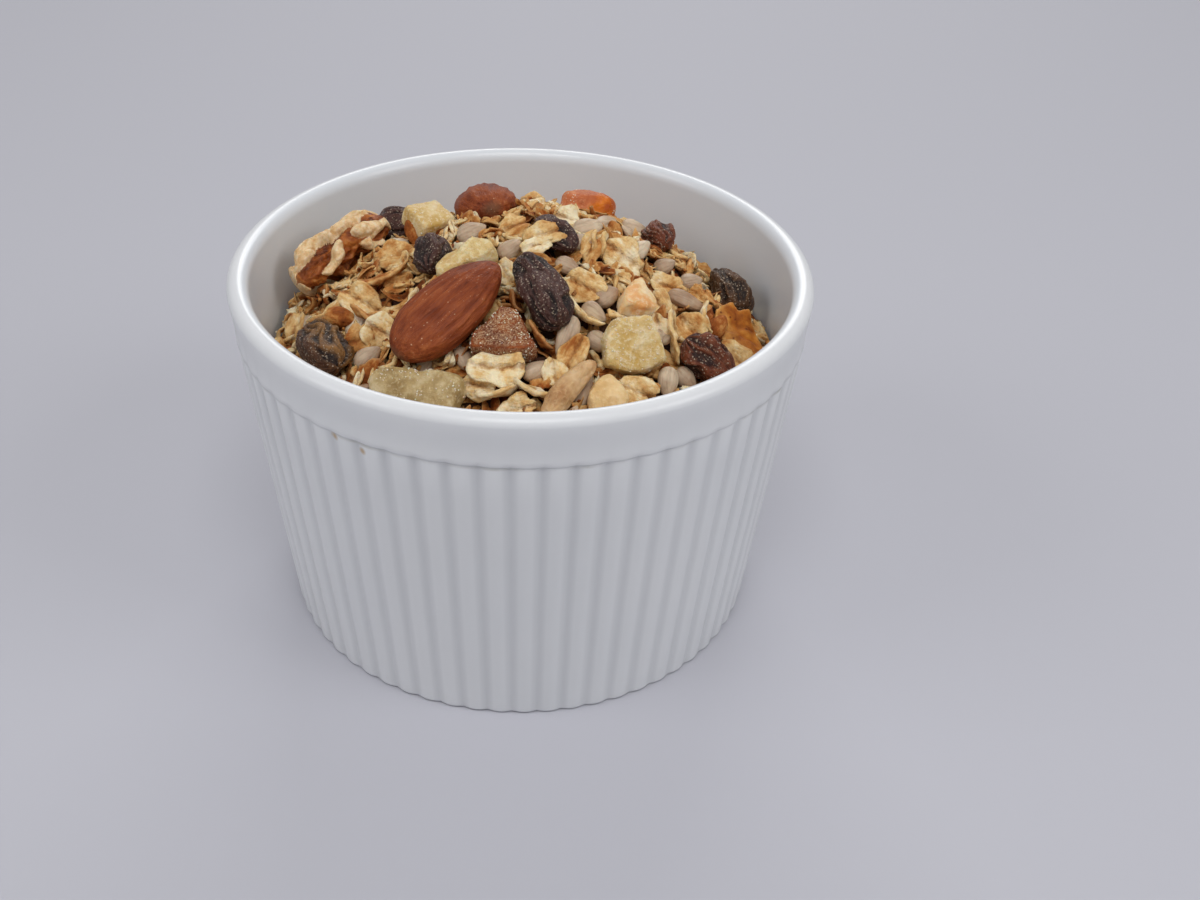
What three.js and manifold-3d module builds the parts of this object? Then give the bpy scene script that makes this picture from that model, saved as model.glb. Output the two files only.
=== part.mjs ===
// A ribbed porcelain bowl heaped with muesli: rolled-oat flakes and sunflower kernels,
// with almonds, raisins, a walnut piece and candied fruit lying on top.
// Millimetres, +Z up. The origin is on the table, in the middle of the foot ring.
// Run with Node: the default export is a THREE.Group of one closed mesh per piece.

import * as THREE from 'three';
import { mergeVertices } from 'three/addons/utils/BufferGeometryUtils.js';
import Module from 'manifold-3d';

const wasm = await Module();
wasm.setup();

// ---- Bowl -----------------------------------------------------------------------------
const RIM_RADIUS = 47.5; // widest point, just under the top of the lip
const BOWL_HEIGHT = 62.4;
const BASE_RADIUS = 41.6; // outline of the ribbed wall at the table
const BASE_ROUND = 0.9; // height of the rounded bottom edge
const BAND_RADIUS = 47.05; // plain band's radius at its lower edge
const BAND_Z = 53.8; // lower edge of the plain band under the lip
const BAND_STEP = 0.12; // how far the rib crests lie inside the band
const RIBS = 64;
const RIB_DEPTH = 0.38; // valley below crest
const BAND_ROOT = 1.5; // how deep the band's ring reaches into the ribbed wall
const LIP_FLAT_OUTER = 46.3; // the lip's top is level between these two radii
const LIP_FLAT_INNER = 45.3;
const LIP_ROUND = 1.4; // height of the lip's rounded outer edge
const INNER_RADIUS_0 = 37.8; // inner wall: radius = INNER_RADIUS_0 + INNER_SLOPE * z
const INNER_SLOPE = 0.103;
const INNER_TOP_Z = 60.2; // the lip's inner rounding starts here
const FLOOR_Z = 5.5; // inside floor
const FLOOR_FILLET = 4.5; // height of the curve from the floor to the inner wall
const ABOVE_BOWL = 1; // how far a cutting shape reaches past the surface that it cuts
const FOOT_INNER_RADIUS = 35.5; // the foot ring reaches from here to the wall
const FOOT_RECESS = 1.2; // depth of the recess inside the foot ring
const BAND_SIDES = 84;
const CAVITY_SIDES = 64;
const FOOT_SIDES = 48;

// ---- Heap -----------------------------------------------------------------------------
const GAP = 0.3; // clearance between neighbouring pieces
const ROOM_TOP = 90; // loose pieces are trimmed to the bowl's inside, carried up to here
const HEAP_EDGE_RADIUS = 42.3; // where the heap meets the wall
const HEAP_EDGE_Z = 45.5;
const HEAP_PEAK = { x: 2, y: 4, z: 66 };
const HEAP_ROUNDNESS = 1.8; // 1 is a cone, 2 a paraboloid
const CORE_DROP = 1.7; // the core's skin lies this far under the heap's mean surface
const CORE_SIDES = 28;
const CORE_RINGS = 6;
const ROOM_SIDES = 40;

// ---- Loose pieces fused to the heap ---------------------------------------------------
const FLAKE_COUNT = 128; // places tried; those that a topping or a neighbour fills are skipped
const FLAKE_SIDES = 6;
const FLAKE = { length: [5.5, 9.5], width: [4.5, 7], thickness: 1.0, curl: 0.9 };
const KERNEL_COUNT = 34;
const KERNEL_SIDES = 5;
const CORNFLAKE_CURL = 1.1;
const KERNEL = { length: [7, 9], width: [3.6, 4.6], height: [2.2, 2.8] };
const MOST_UNDER_TOPPING = 0.12; // share of a loose piece that a topping may cut away
const MOST_IN_NEIGHBOUR = 0.18; // share of it that may lie inside the others
const GOLDEN_ANGLE = Math.PI * (3 - Math.sqrt(5));
const SPREAD_RADIUS = 38.8; // middles of the loose pieces lie within this radius
const SPREAD_JITTER = 0.5;

// ---- Small helpers --------------------------------------------------------------------
const TAU = 2 * Math.PI;
const rad = THREE.MathUtils.degToRad;
const lerp = THREE.MathUtils.lerp;

function randomSource(seed) {
  let state = seed;
  return () => {
    state = (Math.imul(state, 1664525) + 1013904223) >>> 0;
    return state / 2 ** 32;
  };
}

const between = (random, [low, high]) => lerp(low, high, random());

/** Closed geometry through a stack of rings, each an array of [x, y, z], lowest ring first. */
function skinRings(rings, start, end) {
  const sides = rings[0].length;
  const positions = [start, ...rings.flat(), end].flat();
  const last = 1 + rings.length * sides;
  const index = [];
  const at = (ring, side) => 1 + ring * sides + (side % sides);
  for (let side = 0; side < sides; side += 1) {
    index.push(0, at(0, side + 1), at(0, side));
    for (let ring = 0; ring + 1 < rings.length; ring += 1) {
      index.push(at(ring, side), at(ring, side + 1), at(ring + 1, side + 1));
      index.push(at(ring, side), at(ring + 1, side + 1), at(ring + 1, side));
    }
    index.push(last, at(rings.length - 1, side), at(rings.length - 1, side + 1));
  }
  const geometry = new THREE.BufferGeometry();
  geometry.setAttribute('position', new THREE.Float32BufferAttribute(positions, 3));
  geometry.setIndex(index);
  return geometry;
}

function latheSolid(profile, segments) {
  const lathe = new THREE.LatheGeometry(profile.map(([r, z]) => new THREE.Vector2(r, z)), segments);
  lathe.rotateX(Math.PI / 2); // the lathe turns about Y; the bowl's axis is Z
  return toSolid(lathe);
}

function toSolid(geometry) {
  const bare = geometry.clone();
  bare.deleteAttribute('normal');
  bare.deleteAttribute('uv');
  const merged = mergeVertices(bare, 1e-4);
  const corners = [];
  const { array } = merged.index;
  for (let i = 0; i < array.length; i += 3) {
    const [a, b, c] = [array[i], array[i + 1], array[i + 2]];
    if (a !== b && b !== c && c !== a) corners.push(a, b, c);
  }
  return new wasm.Manifold(new wasm.Mesh({
    numProp: 3,
    vertProperties: new Float32Array(merged.attributes.position.array),
    triVerts: new Uint32Array(corners),
  }));
}

function toGeometry(solid) {
  const mesh = solid.getMesh();
  const geometry = new THREE.BufferGeometry();
  geometry.setAttribute('position', new THREE.BufferAttribute(mesh.vertProperties, 3));
  geometry.setIndex(new THREE.BufferAttribute(mesh.triVerts, 1));
  geometry.computeVertexNormals();
  return geometry;
}

const joinAll = (solids) => solids.reduce((sum, solid) => sum.add(solid));

/** The one body that matters: what cutting has left loose is dropped. */
function largestBody(solid) {
  return solid.decompose().sort((a, b) => b.volume() - a.volume())[0];
}

function namedMesh(name, solid, colour, roughness) {
  const material = new THREE.MeshStandardMaterial({ color: colour, roughness, metalness: 0 });
  const mesh = new THREE.Mesh(toGeometry(solid), material);
  mesh.name = name;
  return mesh;
}

// ---- Bowl -----------------------------------------------------------------------------
const innerRadius = (z) => INNER_RADIUS_0 + INNER_SLOPE * z;

/** The bowl's inside from the floor up over the fillet, shrunk by `inset`. */
function floorProfile(inset) {
  const wall = innerRadius(FLOOR_Z + FLOOR_FILLET) - inset;
  return [
    [wall - 1.2 * FLOOR_FILLET, FLOOR_Z + inset],
    [wall - 0.5 * FLOOR_FILLET, FLOOR_Z + 0.3 * FLOOR_FILLET + inset],
    [wall, FLOOR_Z + FLOOR_FILLET + inset],
  ];
}

/** The whole inside as a closed profile, shrunk by `inset`, with `top` above the inner wall. */
function cavityProfile(inset, top) {
  const wallTop = [innerRadius(INNER_TOP_Z) - inset, INNER_TOP_Z];
  return [[0, FLOOR_Z + inset], ...floorProfile(inset), wallTop, ...top];
}

/** One ring of the ribbed wall: four points a rib, from valley over crest. */
function ribRing(crestRadius, z, depth) {
  const belowCrest = [1, 0.3, 0, 0.3];
  const count = RIBS * belowCrest.length;
  return Array.from({ length: count }, (_, i) => {
    const radius = crestRadius - depth * belowCrest[i % belowCrest.length];
    const angle = ((i + 0.4) / count) * TAU - Math.PI / RIBS;
    return [radius * Math.cos(angle), radius * Math.sin(angle), z];
  });
}

function bowlSolid() {
  const crest = BAND_RADIUS - BAND_STEP;
  const wall = toSolid(skinRings([
    ribRing(BASE_RADIUS - BASE_ROUND, 0, RIB_DEPTH / 2),
    ribRing(lerp(BASE_RADIUS, crest, BASE_ROUND / BAND_Z), BASE_ROUND, RIB_DEPTH),
    ribRing(crest, BAND_Z, RIB_DEPTH),
  ], [0, 0, 0], [0, 0, BAND_Z]));
  const band = latheSolid([
    [0, BAND_Z - ABOVE_BOWL],
    [BAND_RADIUS - BAND_ROOT, BAND_Z - ABOVE_BOWL],
    [BAND_RADIUS - BAND_ROOT, BAND_Z],
    [BAND_RADIUS, BAND_Z],
    [RIM_RADIUS, BOWL_HEIGHT - LIP_ROUND],
    [lerp(RIM_RADIUS, LIP_FLAT_OUTER, 0.25), BOWL_HEIGHT - 0.35 * LIP_ROUND],
    [LIP_FLAT_OUTER, BOWL_HEIGHT],
    [0, BOWL_HEIGHT],
  ], BAND_SIDES);
  const wallTop = innerRadius(INNER_TOP_Z);
  const cavity = latheSolid(cavityProfile(0, [
    [lerp(wallTop, LIP_FLAT_INNER, 0.35), BOWL_HEIGHT - 0.5 * LIP_ROUND],
    [LIP_FLAT_INNER, BOWL_HEIGHT],
    [LIP_FLAT_INNER, BOWL_HEIGHT + ABOVE_BOWL],
    [0, BOWL_HEIGHT + ABOVE_BOWL],
  ]), CAVITY_SIDES);
  const recess = latheSolid([
    [0, -ABOVE_BOWL],
    [FOOT_INNER_RADIUS, -ABOVE_BOWL],
    [FOOT_INNER_RADIUS, 0],
    [FOOT_INNER_RADIUS - FOOT_RECESS, FOOT_RECESS],
    [0, FOOT_RECESS],
  ], FOOT_SIDES);
  return wall.add(band).subtract(cavity).subtract(recess);
}

// ---- Heap surface ---------------------------------------------------------------------
/** Height of the heap's mean surface over the point (x, y). */
function heapZ(x, y) {
  const dx = x - HEAP_PEAK.x;
  const dy = y - HEAP_PEAK.y;
  const away = Math.hypot(dx, dy) + 1e-9;
  const along = (HEAP_PEAK.x * dx + HEAP_PEAK.y * dy) / away;
  const inside = HEAP_EDGE_RADIUS ** 2 - HEAP_PEAK.x ** 2 - HEAP_PEAK.y ** 2;
  const toEdge = Math.sqrt(along * along + inside) - along;
  const share = Math.min(away / toEdge, 1.05);
  return HEAP_EDGE_Z + (HEAP_PEAK.z - HEAP_EDGE_Z) * (1 - share ** HEAP_ROUNDNESS);
}

function heapNormal(x, y) {
  const step = 0.5;
  const slopeX = (heapZ(x + step, y) - heapZ(x - step, y)) / (2 * step);
  const slopeY = (heapZ(x, y + step) - heapZ(x, y - step)) / (2 * step);
  return new THREE.Vector3(-slopeX, -slopeY, 1).normalize();
}

/**
 * Where a piece lies: its own X runs along the heap, turned from east by `turn` degrees,
 * its Z is the heap's normal, `lean` lifts its front end and `roll` tips it sideways.
 */
function placeOnHeap({ at: [x, y], turn = 0, lean = 0, roll = 0, lift = 0 }) {
  const normal = heapNormal(x, y);
  const east = new THREE.Vector3(1, 0, 0).addScaledVector(normal, -normal.x).normalize();
  const north = new THREE.Vector3().crossVectors(normal, east);
  const lay = new THREE.Matrix4().makeBasis(east, north, normal);
  lay.multiply(new THREE.Matrix4().makeRotationZ(rad(turn)));
  lay.multiply(new THREE.Matrix4().makeRotationY(-rad(lean)));
  lay.multiply(new THREE.Matrix4().makeRotationX(rad(roll)));
  const origin = new THREE.Vector3(x, y, heapZ(x, y)).addScaledVector(normal, lift);
  return lay.setPosition(origin);
}

// ---- Shapes of the food, each about its own middle, long axis on X --------------------
/** A rounded body: `outline(u, angle)` scales its section at the station u from -1 to 1. */
function roundedBody([length, width, height], stations, sides, outline, bend = 0) {
  const rings = [];
  for (let i = 1; i < stations; i += 1) {
    const u = -Math.cos((i / stations) * Math.PI);
    const ring = [];
    for (let side = 0; side < sides; side += 1) {
      const angle = (side / sides) * TAU;
      const scale = outline(u, angle);
      const y = (width / 2) * scale * Math.cos(angle) + bend * (1 - u * u);
      ring.push([(length / 2) * u, y, (height / 2) * scale * Math.sin(angle)]);
    }
    rings.push(ring);
  }
  return skinRings(rings, [-length / 2, 0, 0], [length / 2, 0, 0]);
}

/** Almond kernel: blunt and wide towards -X, drawn out to a point at +X. */
function almond(size) {
  const outline = (u) => (1 - Math.abs(u) ** 2.4) ** 0.55 * (1 - 0.17 * u) * (1 - 0.04 * u * u);
  return roundedBody(size, 9, 12, outline);
}

/** Raisin: an oval with lengthwise creases and a pinched waist. */
function raisin(size, phase) {
  const outline = (u, angle) => {
    const crease = 0.1 * Math.sin(3 * angle + 2.2 * u + phase) + 0.05 * Math.sin(5 * angle - phase);
    const oval = (1 - u * u) ** 0.42;
    return oval * (1 - 0.07 * Math.cos(3 * u + phase) + crease);
  };
  return roundedBody(size, 7, 10, outline);
}

/** Walnut piece: thick winding lobes either side of a groove along the back. */
function walnut(size) {
  const outline = (u, angle) => {
    const groove = 0.2 * Math.exp(-(((angle - Math.PI / 2) / 0.35) ** 2));
    const lobes = 0.13 * Math.sin(5.2 * u + 1.2 * Math.sin(2 * angle)) * Math.cos(2 * angle + 0.6);
    const fine = 0.06 * Math.sin(4 * angle + 7 * u);
    return (1 - u ** 4) ** 0.4 * (0.92 + lobes + fine - groove);
  };
  return roundedBody(size, 10, 14, outline);
}

/** Sliver of nut or grain: a slim oval that bends to one side. */
function sliver(size, phase) {
  const outline = (u) => (1 - u * u) ** 0.45 * (1 + 0.12 * Math.sin(2.5 * u + phase));
  return roundedBody(size, 6, 8, outline, size[0] * 0.05);
}

/** Cut chunk of candied fruit: an outline of corners with softened edges, `size[2]` thick. */
function chunk(size, phase, corners) {
  const half = size[2] / 2;
  const levels = [[-half, 0.8], [-half * 0.6, 1], [half * 0.55, 0.98], [half, 0.76]];
  const rings = levels.map(([z, share]) => corners.map(([x, y], i) => {
    const uneven = 0.12 * half * Math.sin(2.4 * i + phase);
    return [x * share, y * share, z + uneven];
  }));
  return skinRings(rings, [0, 0, -half * 0.94], [0, 0, half * 1.06]);
}

/** Cornflake: a thin wavy sheet, both faces split alike round a middle. */
function cornflake([length, width, thickness], phase, corners) {
  const height = (x, y) => {
    const u = (2 * x) / length;
    const v = (2 * y) / width;
    return CORNFLAKE_CURL * (u * u - 0.4 + 0.35 * Math.sin(3 * v + phase) * u);
  };
  const face = (side, share) => corners.map(([x, y]) => (
    [x * share, y * share, height(x * share, y * share) + (side * thickness) / 2]));
  const rings = [face(-1, 0.55), face(-1, 1), face(1, 1), face(1, 0.55)];
  const middle = height(0, 0);
  return skinRings(rings, [0, 0, middle - thickness / 2], [0, 0, middle + thickness / 2]);
}

/** Rolled-oat flake: an uneven oval, lightly curled, with few sides. */
function oatFlake(random) {
  const length = between(random, FLAKE.length);
  const width = Math.min(between(random, FLAKE.width), length);
  const curl = (random() - 0.3) * FLAKE.curl * 2;
  const phase = random() * TAU;
  const ring = (side) => Array.from({ length: FLAKE_SIDES }, (_, i) => {
    const angle = (i / FLAKE_SIDES) * TAU;
    const ragged = 1 + 0.11 * Math.sin(3 * angle + phase) + 0.06 * Math.sin(5 * angle);
    const u = Math.cos(angle) * ragged;
    const z = curl * (u * u - 0.5) + 0.3 * Math.sin(2 * angle + phase);
    return [(length / 2) * u, (width / 2) * Math.sin(angle) * ragged, z + (side * FLAKE.thickness) / 2];
  });
  const middle = -curl / 2;
  return skinRings([ring(-1), ring(1)], [0, 0, middle - FLAKE.thickness / 2],
    [0, 0, middle + FLAKE.thickness / 2]);
}

/** Sunflower kernel: a flat drop, blunt at -X and pointed at +X. */
function kernel(random) {
  const size = [KERNEL.length, KERNEL.width, KERNEL.height].map((range) => between(random, range));
  return roundedBody(size, 4, KERNEL_SIDES, (u) => (1 - u * u) ** 0.5 * (1 - 0.3 * u));
}

// ---- Toppings -------------------------------------------------------------------------
const COLOUR = {
  porcelain: 0xd9dade,
  muesli: 0xd2ae7a,
  almond: 0x9a5a3c,
  walnut: 0xc09468,
  darkRaisin: 0x4a3834,
  brownRaisin: 0x6e5138,
  redRaisin: 0x6b3d28,
  pineapple: 0xd9ca8e,
  greenSlice: 0xbdb07c,
  papaya: 0xd67a42,
  palePapaya: 0xe8bf8e,
  sugared: 0xa9714e,
  banana: 0xe2c594,
  nut: 0xc19a6e,
  cornflake: 0xc9934d,
};

// `at` is the point of the heap it lies on; `lift` its middle above the heap's surface.
const TOPPINGS = [
  { name: 'almond_front', shape: almond, size: [21.8, 11.5, 8], at: [-10.8, -16.6], turn: 45,
    lift: 3.4, colour: COLOUR.almond },
  { name: 'almond_back', shape: almond, size: [17.5, 11, 8], at: [-6.7, 18.9], turn: 100, lean: 4,
    lift: 1.4, colour: COLOUR.almond },
  { name: 'walnut_piece', shape: walnut, size: [19.5, 12.5, 10.5], at: [-29.2, 10.8], turn: 32,
    lift: 4, colour: COLOUR.walnut },
  { name: 'raisin_centre', shape: raisin, size: [14.6, 7.6, 7.4], at: [2.6, -14.5], turn: -66,
    lift: 3.2, phase: 0.4, colour: COLOUR.darkRaisin },
  { name: 'raisin_left_front', shape: raisin, size: [13, 8, 7], at: [-30, -14.8], turn: -57,
    lift: 2.8, phase: 1.6, colour: COLOUR.brownRaisin },
  { name: 'raisin_left', shape: raisin, size: [8.8, 6.2, 5.8], at: [-14.2, -2.3], turn: 89,
    lift: 2, phase: 2.5, colour: COLOUR.darkRaisin },
  { name: 'raisin_left_back', shape: raisin, size: [8.8, 7.2, 6.5], at: [-21.6, 21.2], turn: 30,
    lift: 2.8, phase: 3.3, colour: COLOUR.darkRaisin },
  { name: 'raisin_middle', shape: raisin, size: [9.4, 6, 5], at: [5, 0.5], turn: -50, lift: 1,
    phase: 4.2, colour: COLOUR.darkRaisin },
  { name: 'raisin_right_front', shape: raisin, size: [9.8, 8, 7], at: [27.6, -18.2], turn: -30,
    lift: 2.6, phase: 5.1, colour: COLOUR.redRaisin },
  { name: 'raisin_right', shape: raisin, size: [10.8, 8, 7], at: [35, 8], turn: -62, lift: 1.6,
    phase: 0.9, colour: COLOUR.brownRaisin },
  { name: 'raisin_right_back', shape: raisin, size: [8.1, 5.8, 5.6], at: [22.4, 12.5], turn: -80,
    lift: 2, phase: 3.8, colour: COLOUR.redRaisin },
  { name: 'pineapple_right', shape: chunk, size: [10.4, 9.6, 4.6], at: [16.3, -20.2], turn: -5,
    roll: 28, lift: 2.2, phase: 0.3, colour: COLOUR.pineapple,
    corners: [[-4.4, -4.8], [0.5, -4.8], [3.3, -3.6], [5.2, -1.5], [2.8, 2.8], [1, 4.8], [-3.8, 3],
      [-5.2, -0.5]] },
  { name: 'pineapple_back', shape: chunk, size: [6.9, 6.6, 4], at: [-15.6, 12.7], turn: 40,
    lean: -12, roll: 38, lift: 2, phase: 1.9, colour: COLOUR.pineapple,
    corners: [[-3.4, -3.2], [0.4, -3.3], [3.4, -3.2], [3.4, 3.1], [0, 3.3], [-3.4, 3.2]] },
  { name: 'candied_slice', shape: chunk, size: [15.5, 7.8, 4], at: [-15.7, -27.3], turn: -6,
    roll: 10, lift: 1.4, phase: 2.7, colour: COLOUR.greenSlice,
    corners: [[-7, -0.8], [-2, -2.7], [3.7, -3.6], [6.6, -3.3], [7.7, -0.4], [7.5, 2], [3.9, 3],
      [-1.9, 3.7], [-6.6, 3.4], [-7.5, 1.9]] },
  { name: 'sugared_fruit', shape: chunk, size: [10.4, 8.4, 5], at: [-3, -20.8], turn: 0, lift: 1.4,
    phase: 4.4, colour: COLOUR.sugared,
    corners: [[-5, -3.2], [-0.3, -4.2], [3.7, -4.2], [5.2, -3], [3.5, 0.8], [1.9, 3.9],
      [-0.2, 3.9], [-2.4, 1.8], [-4.7, -0.6]] },
  { name: 'papaya_back', shape: chunk, size: [10.2, 8, 6.6], at: [11, 22], turn: -5, lift: 1.6,
    phase: 3.1, colour: COLOUR.papaya,
    corners: [[-4.8, -3], [-1, -4], [3.6, -3.8], [5, -1], [4.6, 3], [0, 4], [-4, 3.4], [-5.1, 0]] },
  { name: 'papaya_right', shape: chunk, size: [6.4, 7.2, 4.6], at: [17.5, -11.6], turn: 8,
    lift: 1.8, phase: 5.5, colour: COLOUR.palePapaya,
    corners: [[-4, -2.6], [-1, -3.6], [1.9, -2.8], [2.4, -0.7], [1.1, 1.3], [0.3, 3.5], [-1.2, 3],
      [-3, 0.6]] },
  { name: 'banana_chunk', shape: chunk, size: [10.6, 5.2, 4.2], at: [-9, -6.4], turn: 33, lift: 2,
    phase: 0.6, colour: COLOUR.banana,
    corners: [[-4.9, -1.9], [-1.6, -2.1], [2, -2.8], [4.9, -2.5], [5.3, -0.2], [3.8, 2.2],
      [1.2, 1.7], [-2.6, 2.3], [-5.1, 0.8]] },
  { name: 'nut_sliver', shape: sliver, size: [12.5, 3.5, 3.6], at: [6.8, -29], turn: 54, lift: 1.8,
    phase: 2.9, colour: COLOUR.nut },
  { name: 'apple_chunk', shape: chunk, size: [6.4, 7.4, 4], at: [12.6, -28.8], turn: 0, lift: 1.5,
    phase: 1.1, colour: COLOUR.banana,
    corners: [[-3.2, -3.2], [-1.2, -3.5], [2.1, -2.7], [2.9, -0.9], [1.5, 1.8], [0, 3.6],
      [-1.4, 3], [-3.1, 0.9], [-3.6, -1.3]] },
  { name: 'cornflake', shape: cornflake, size: [11.6, 7.6, 0.9], at: [34.4, -7], turn: -62,
    roll: 22, lift: 1.6, phase: 1.3, colour: COLOUR.cornflake,
    corners: [[-2.8, -3.4], [-0.3, -3.3], [3, -2.1], [5.3, -0.3], [3.6, 3.2], [-0.3, 3.7],
      [-4.2, 4.3], [-4.1, 2.1], [-6.2, 1.8], [-5.2, -1.9]] },
];

function toppingSolid(topping, grow) {
  const { shape, size, phase, corners } = topping;
  const geometry = shape(size, phase, corners);
  const scale = size.map((extent) => 1 + (2 * grow) / extent);
  geometry.scale(...scale);
  geometry.applyMatrix4(placeOnHeap(topping));
  return toSolid(geometry);
}

// ---- Heap -----------------------------------------------------------------------------
/** Bare core: it follows the bowl's inside, and its top is the heap's surface, lowered. */
function coreSolid() {
  const low = floorProfile(GAP).map(([radius, z]) => coreRing(() => radius, () => z));
  const high = [];
  for (let ring = 0; ring < CORE_RINGS; ring += 1) {
    const share = 1 - ring / CORE_RINGS;
    high.push(coreRing(() => (HEAP_EDGE_RADIUS - GAP) * share, coreTop));
  }
  return toSolid(skinRings([...low, ...high], [0, 0, FLOOR_Z + GAP], [0, 0, coreTop(0, 0)]));
}

function coreTop(x, y) {
  const hollows = 0.5 * Math.sin(0.55 * x + 1) * Math.cos(0.5 * y) + 0.3 * Math.sin(0.9 * (x - y));
  return heapZ(x, y) - CORE_DROP + hollows;
}

function coreRing(radiusAt, heightAt) {
  return Array.from({ length: CORE_SIDES }, (_, i) => {
    const angle = (i / CORE_SIDES) * TAU;
    const x = radiusAt(angle) * Math.cos(angle);
    const y = radiusAt(angle) * Math.sin(angle);
    return [x, y, heightAt(x, y)];
  });
}

/** The n-th of `count` places spread evenly over the heap on a golden-angle spiral. */
function spreadPlace(n, count, random) {
  const radius = SPREAD_RADIUS * Math.sqrt((n + 0.5) / count);
  const angle = n * GOLDEN_ANGLE + (random() - 0.5) * SPREAD_JITTER;
  return [radius * Math.cos(angle), radius * Math.sin(angle)];
}

function scatter(count, seed, shape, pose) {
  const random = randomSource(seed);
  return Array.from({ length: count }, (_, n) => {
    const at = spreadPlace(n, count, random);
    const geometry = shape(random);
    geometry.applyMatrix4(placeOnHeap({ at, turn: random() * 360, ...pose(random) }));
    return toSolid(geometry);
  });
}

const shareInside = (piece, other) => piece.intersect(other).volume() / piece.volume();

/** Joins the pieces one by one, without those that lie too far inside a topping or each other. */
function joinClear(pieces, toppings) {
  return pieces.reduce((joined, piece) => {
    const clear = shareInside(piece, toppings) < MOST_UNDER_TOPPING
      && shareInside(piece, joined) < MOST_IN_NEIGHBOUR;
    return clear ? joined.add(piece) : joined;
  });
}

function heapSolid() {
  const flakes = scatter(FLAKE_COUNT, 11, oatFlake, (random) => ({
    lean: lerp(8, 34, random()),
    roll: (random() - 0.5) * 40,
    lift: lerp(-1.1, -0.1, random()),
  }));
  const kernels = scatter(KERNEL_COUNT, 29, kernel, (random) => ({
    lean: (random() - 0.5) * 30,
    roll: (random() - 0.5) * 40,
    lift: lerp(-0.7, 0.1, random()),
  }));
  const roomTop = [[innerRadius(INNER_TOP_Z) - GAP, ROOM_TOP], [0, ROOM_TOP]];
  const room = latheSolid(cavityProfile(GAP, roomTop), ROOM_SIDES);
  const pockets = joinAll(TOPPINGS.map((topping) => toppingSolid(topping, GAP)));
  const loose = joinClear([...kernels, ...flakes], pockets);
  return largestBody(coreSolid().add(loose).intersect(room).subtract(pockets));
}

// ---- The object -----------------------------------------------------------------------
const object = new THREE.Group();
object.add(namedMesh('bowl', bowlSolid(), COLOUR.porcelain, 0.2));

const muesli = new THREE.Group();
muesli.add(namedMesh('muesli_heap', heapSolid(), COLOUR.muesli, 0.8));
for (const topping of TOPPINGS) {
  muesli.add(namedMesh(topping.name, toppingSolid(topping, 0), topping.colour, 0.7));
}
object.add(muesli);

export default object;
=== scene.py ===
"""A ribbed porcelain bowl heaped with muesli.

The bowl, the core of the heap and the pieces that lie on top replace the plain solids of the
frame. Oat flakes, kernels and crumbs are dropped one by one onto a height grid, so that each
rests on what is already there. Lengths are in millimetres until a mesh is written in metres.
"""
import math

import bpy
import numpy as np
from mathutils import Matrix, Vector


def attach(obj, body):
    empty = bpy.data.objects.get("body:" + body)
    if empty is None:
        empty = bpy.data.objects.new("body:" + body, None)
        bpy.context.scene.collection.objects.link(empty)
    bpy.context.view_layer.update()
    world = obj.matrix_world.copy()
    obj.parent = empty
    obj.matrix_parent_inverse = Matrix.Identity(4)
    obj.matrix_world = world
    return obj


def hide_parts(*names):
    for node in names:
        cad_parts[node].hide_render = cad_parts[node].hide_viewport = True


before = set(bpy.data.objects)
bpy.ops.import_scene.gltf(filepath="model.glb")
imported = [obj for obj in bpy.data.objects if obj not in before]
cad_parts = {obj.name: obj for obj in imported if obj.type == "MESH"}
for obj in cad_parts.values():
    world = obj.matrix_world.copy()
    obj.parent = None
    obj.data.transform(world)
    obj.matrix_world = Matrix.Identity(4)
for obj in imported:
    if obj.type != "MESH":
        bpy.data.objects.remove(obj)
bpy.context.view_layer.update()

MM = 0.001
TAU = 2 * math.pi

# ---- Bowl, as in the frame --------------------------------------------------------------
RIM_RADIUS = 47.5
BOWL_HEIGHT = 62.4
BASE_RADIUS = 41.6
BASE_ROUND = 0.9
BAND_RADIUS = 47.05
BAND_Z = 53.8
BAND_STEP = 0.12
RIBS = 64
RIB_DEPTH = 0.42
RIB_POINTS = 12  # points round one rib
CREST_TURN = math.radians(0.5625)  # a rib's crest lies at this angle
LIP_HEIGHT = 1.5  # the lip's outer rounding starts this far under the rim
LIP_TOP_RADIUS = 45.7
INNER_RADIUS_0 = 37.8
INNER_SLOPE = 0.103
INNER_TOP_Z = 60.2
FLOOR_Z = 5.5
FLOOR_FILLET = 4.5
FOOT_INNER_RADIUS = 35.5
FOOT_RECESS = 1.2
GLAZE_SPECKS = [((-27.2, -38.2, 53.2), 0.9), ((-23.0, -40.8, 52.4), 0.8)]  # baked on: place, reach

# ---- Heap, as in the frame --------------------------------------------------------------
GAP = 0.3  # between the heap's core and the bowl
TOP_Z = 69.4  # nothing stands higher than this
EDGE_RADIUS = 42.3
EDGE_Z = 45.5
PEAK_X, PEAK_Y, PEAK_Z = 2, 4, 66
ROUNDNESS = 1.8
CORE_DROP = 2.3  # the core, dark with painted shade, lies this far under the heap's mean surface


# ---- Numbers ----------------------------------------------------------------------------
def lattice(cell, seed):
    """A fixed random number from 0 to 1 for each whole-numbered point of space."""
    x, y, z = (cell[..., i].astype(np.int64) for i in range(3))
    mixed = (x * 73856093) ^ (y * 19349663) ^ (z * 83492791) ^ (seed * 668265263)
    mixed &= 0xFFFFFFFF
    mixed = ((mixed ^ (mixed >> 13)) * 1274126177) & 0xFFFFFFFF
    return ((mixed ^ (mixed >> 16)) & 0xFFFFFF) / 0xFFFFFF


def noise(points, seed=0):
    """Smooth noise from -1 to 1 with one bump to each unit of length."""
    low = np.floor(points)
    share = points - low
    share = share * share * (3 - 2 * share)
    total = 0
    for corner in np.ndindex(2, 2, 2):
        step = np.array(corner)
        weight = np.prod(np.where(step == 1, share, 1 - share), axis=-1)
        total = total + weight * lattice(low + step, seed)
    return 2 * total - 1


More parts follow.
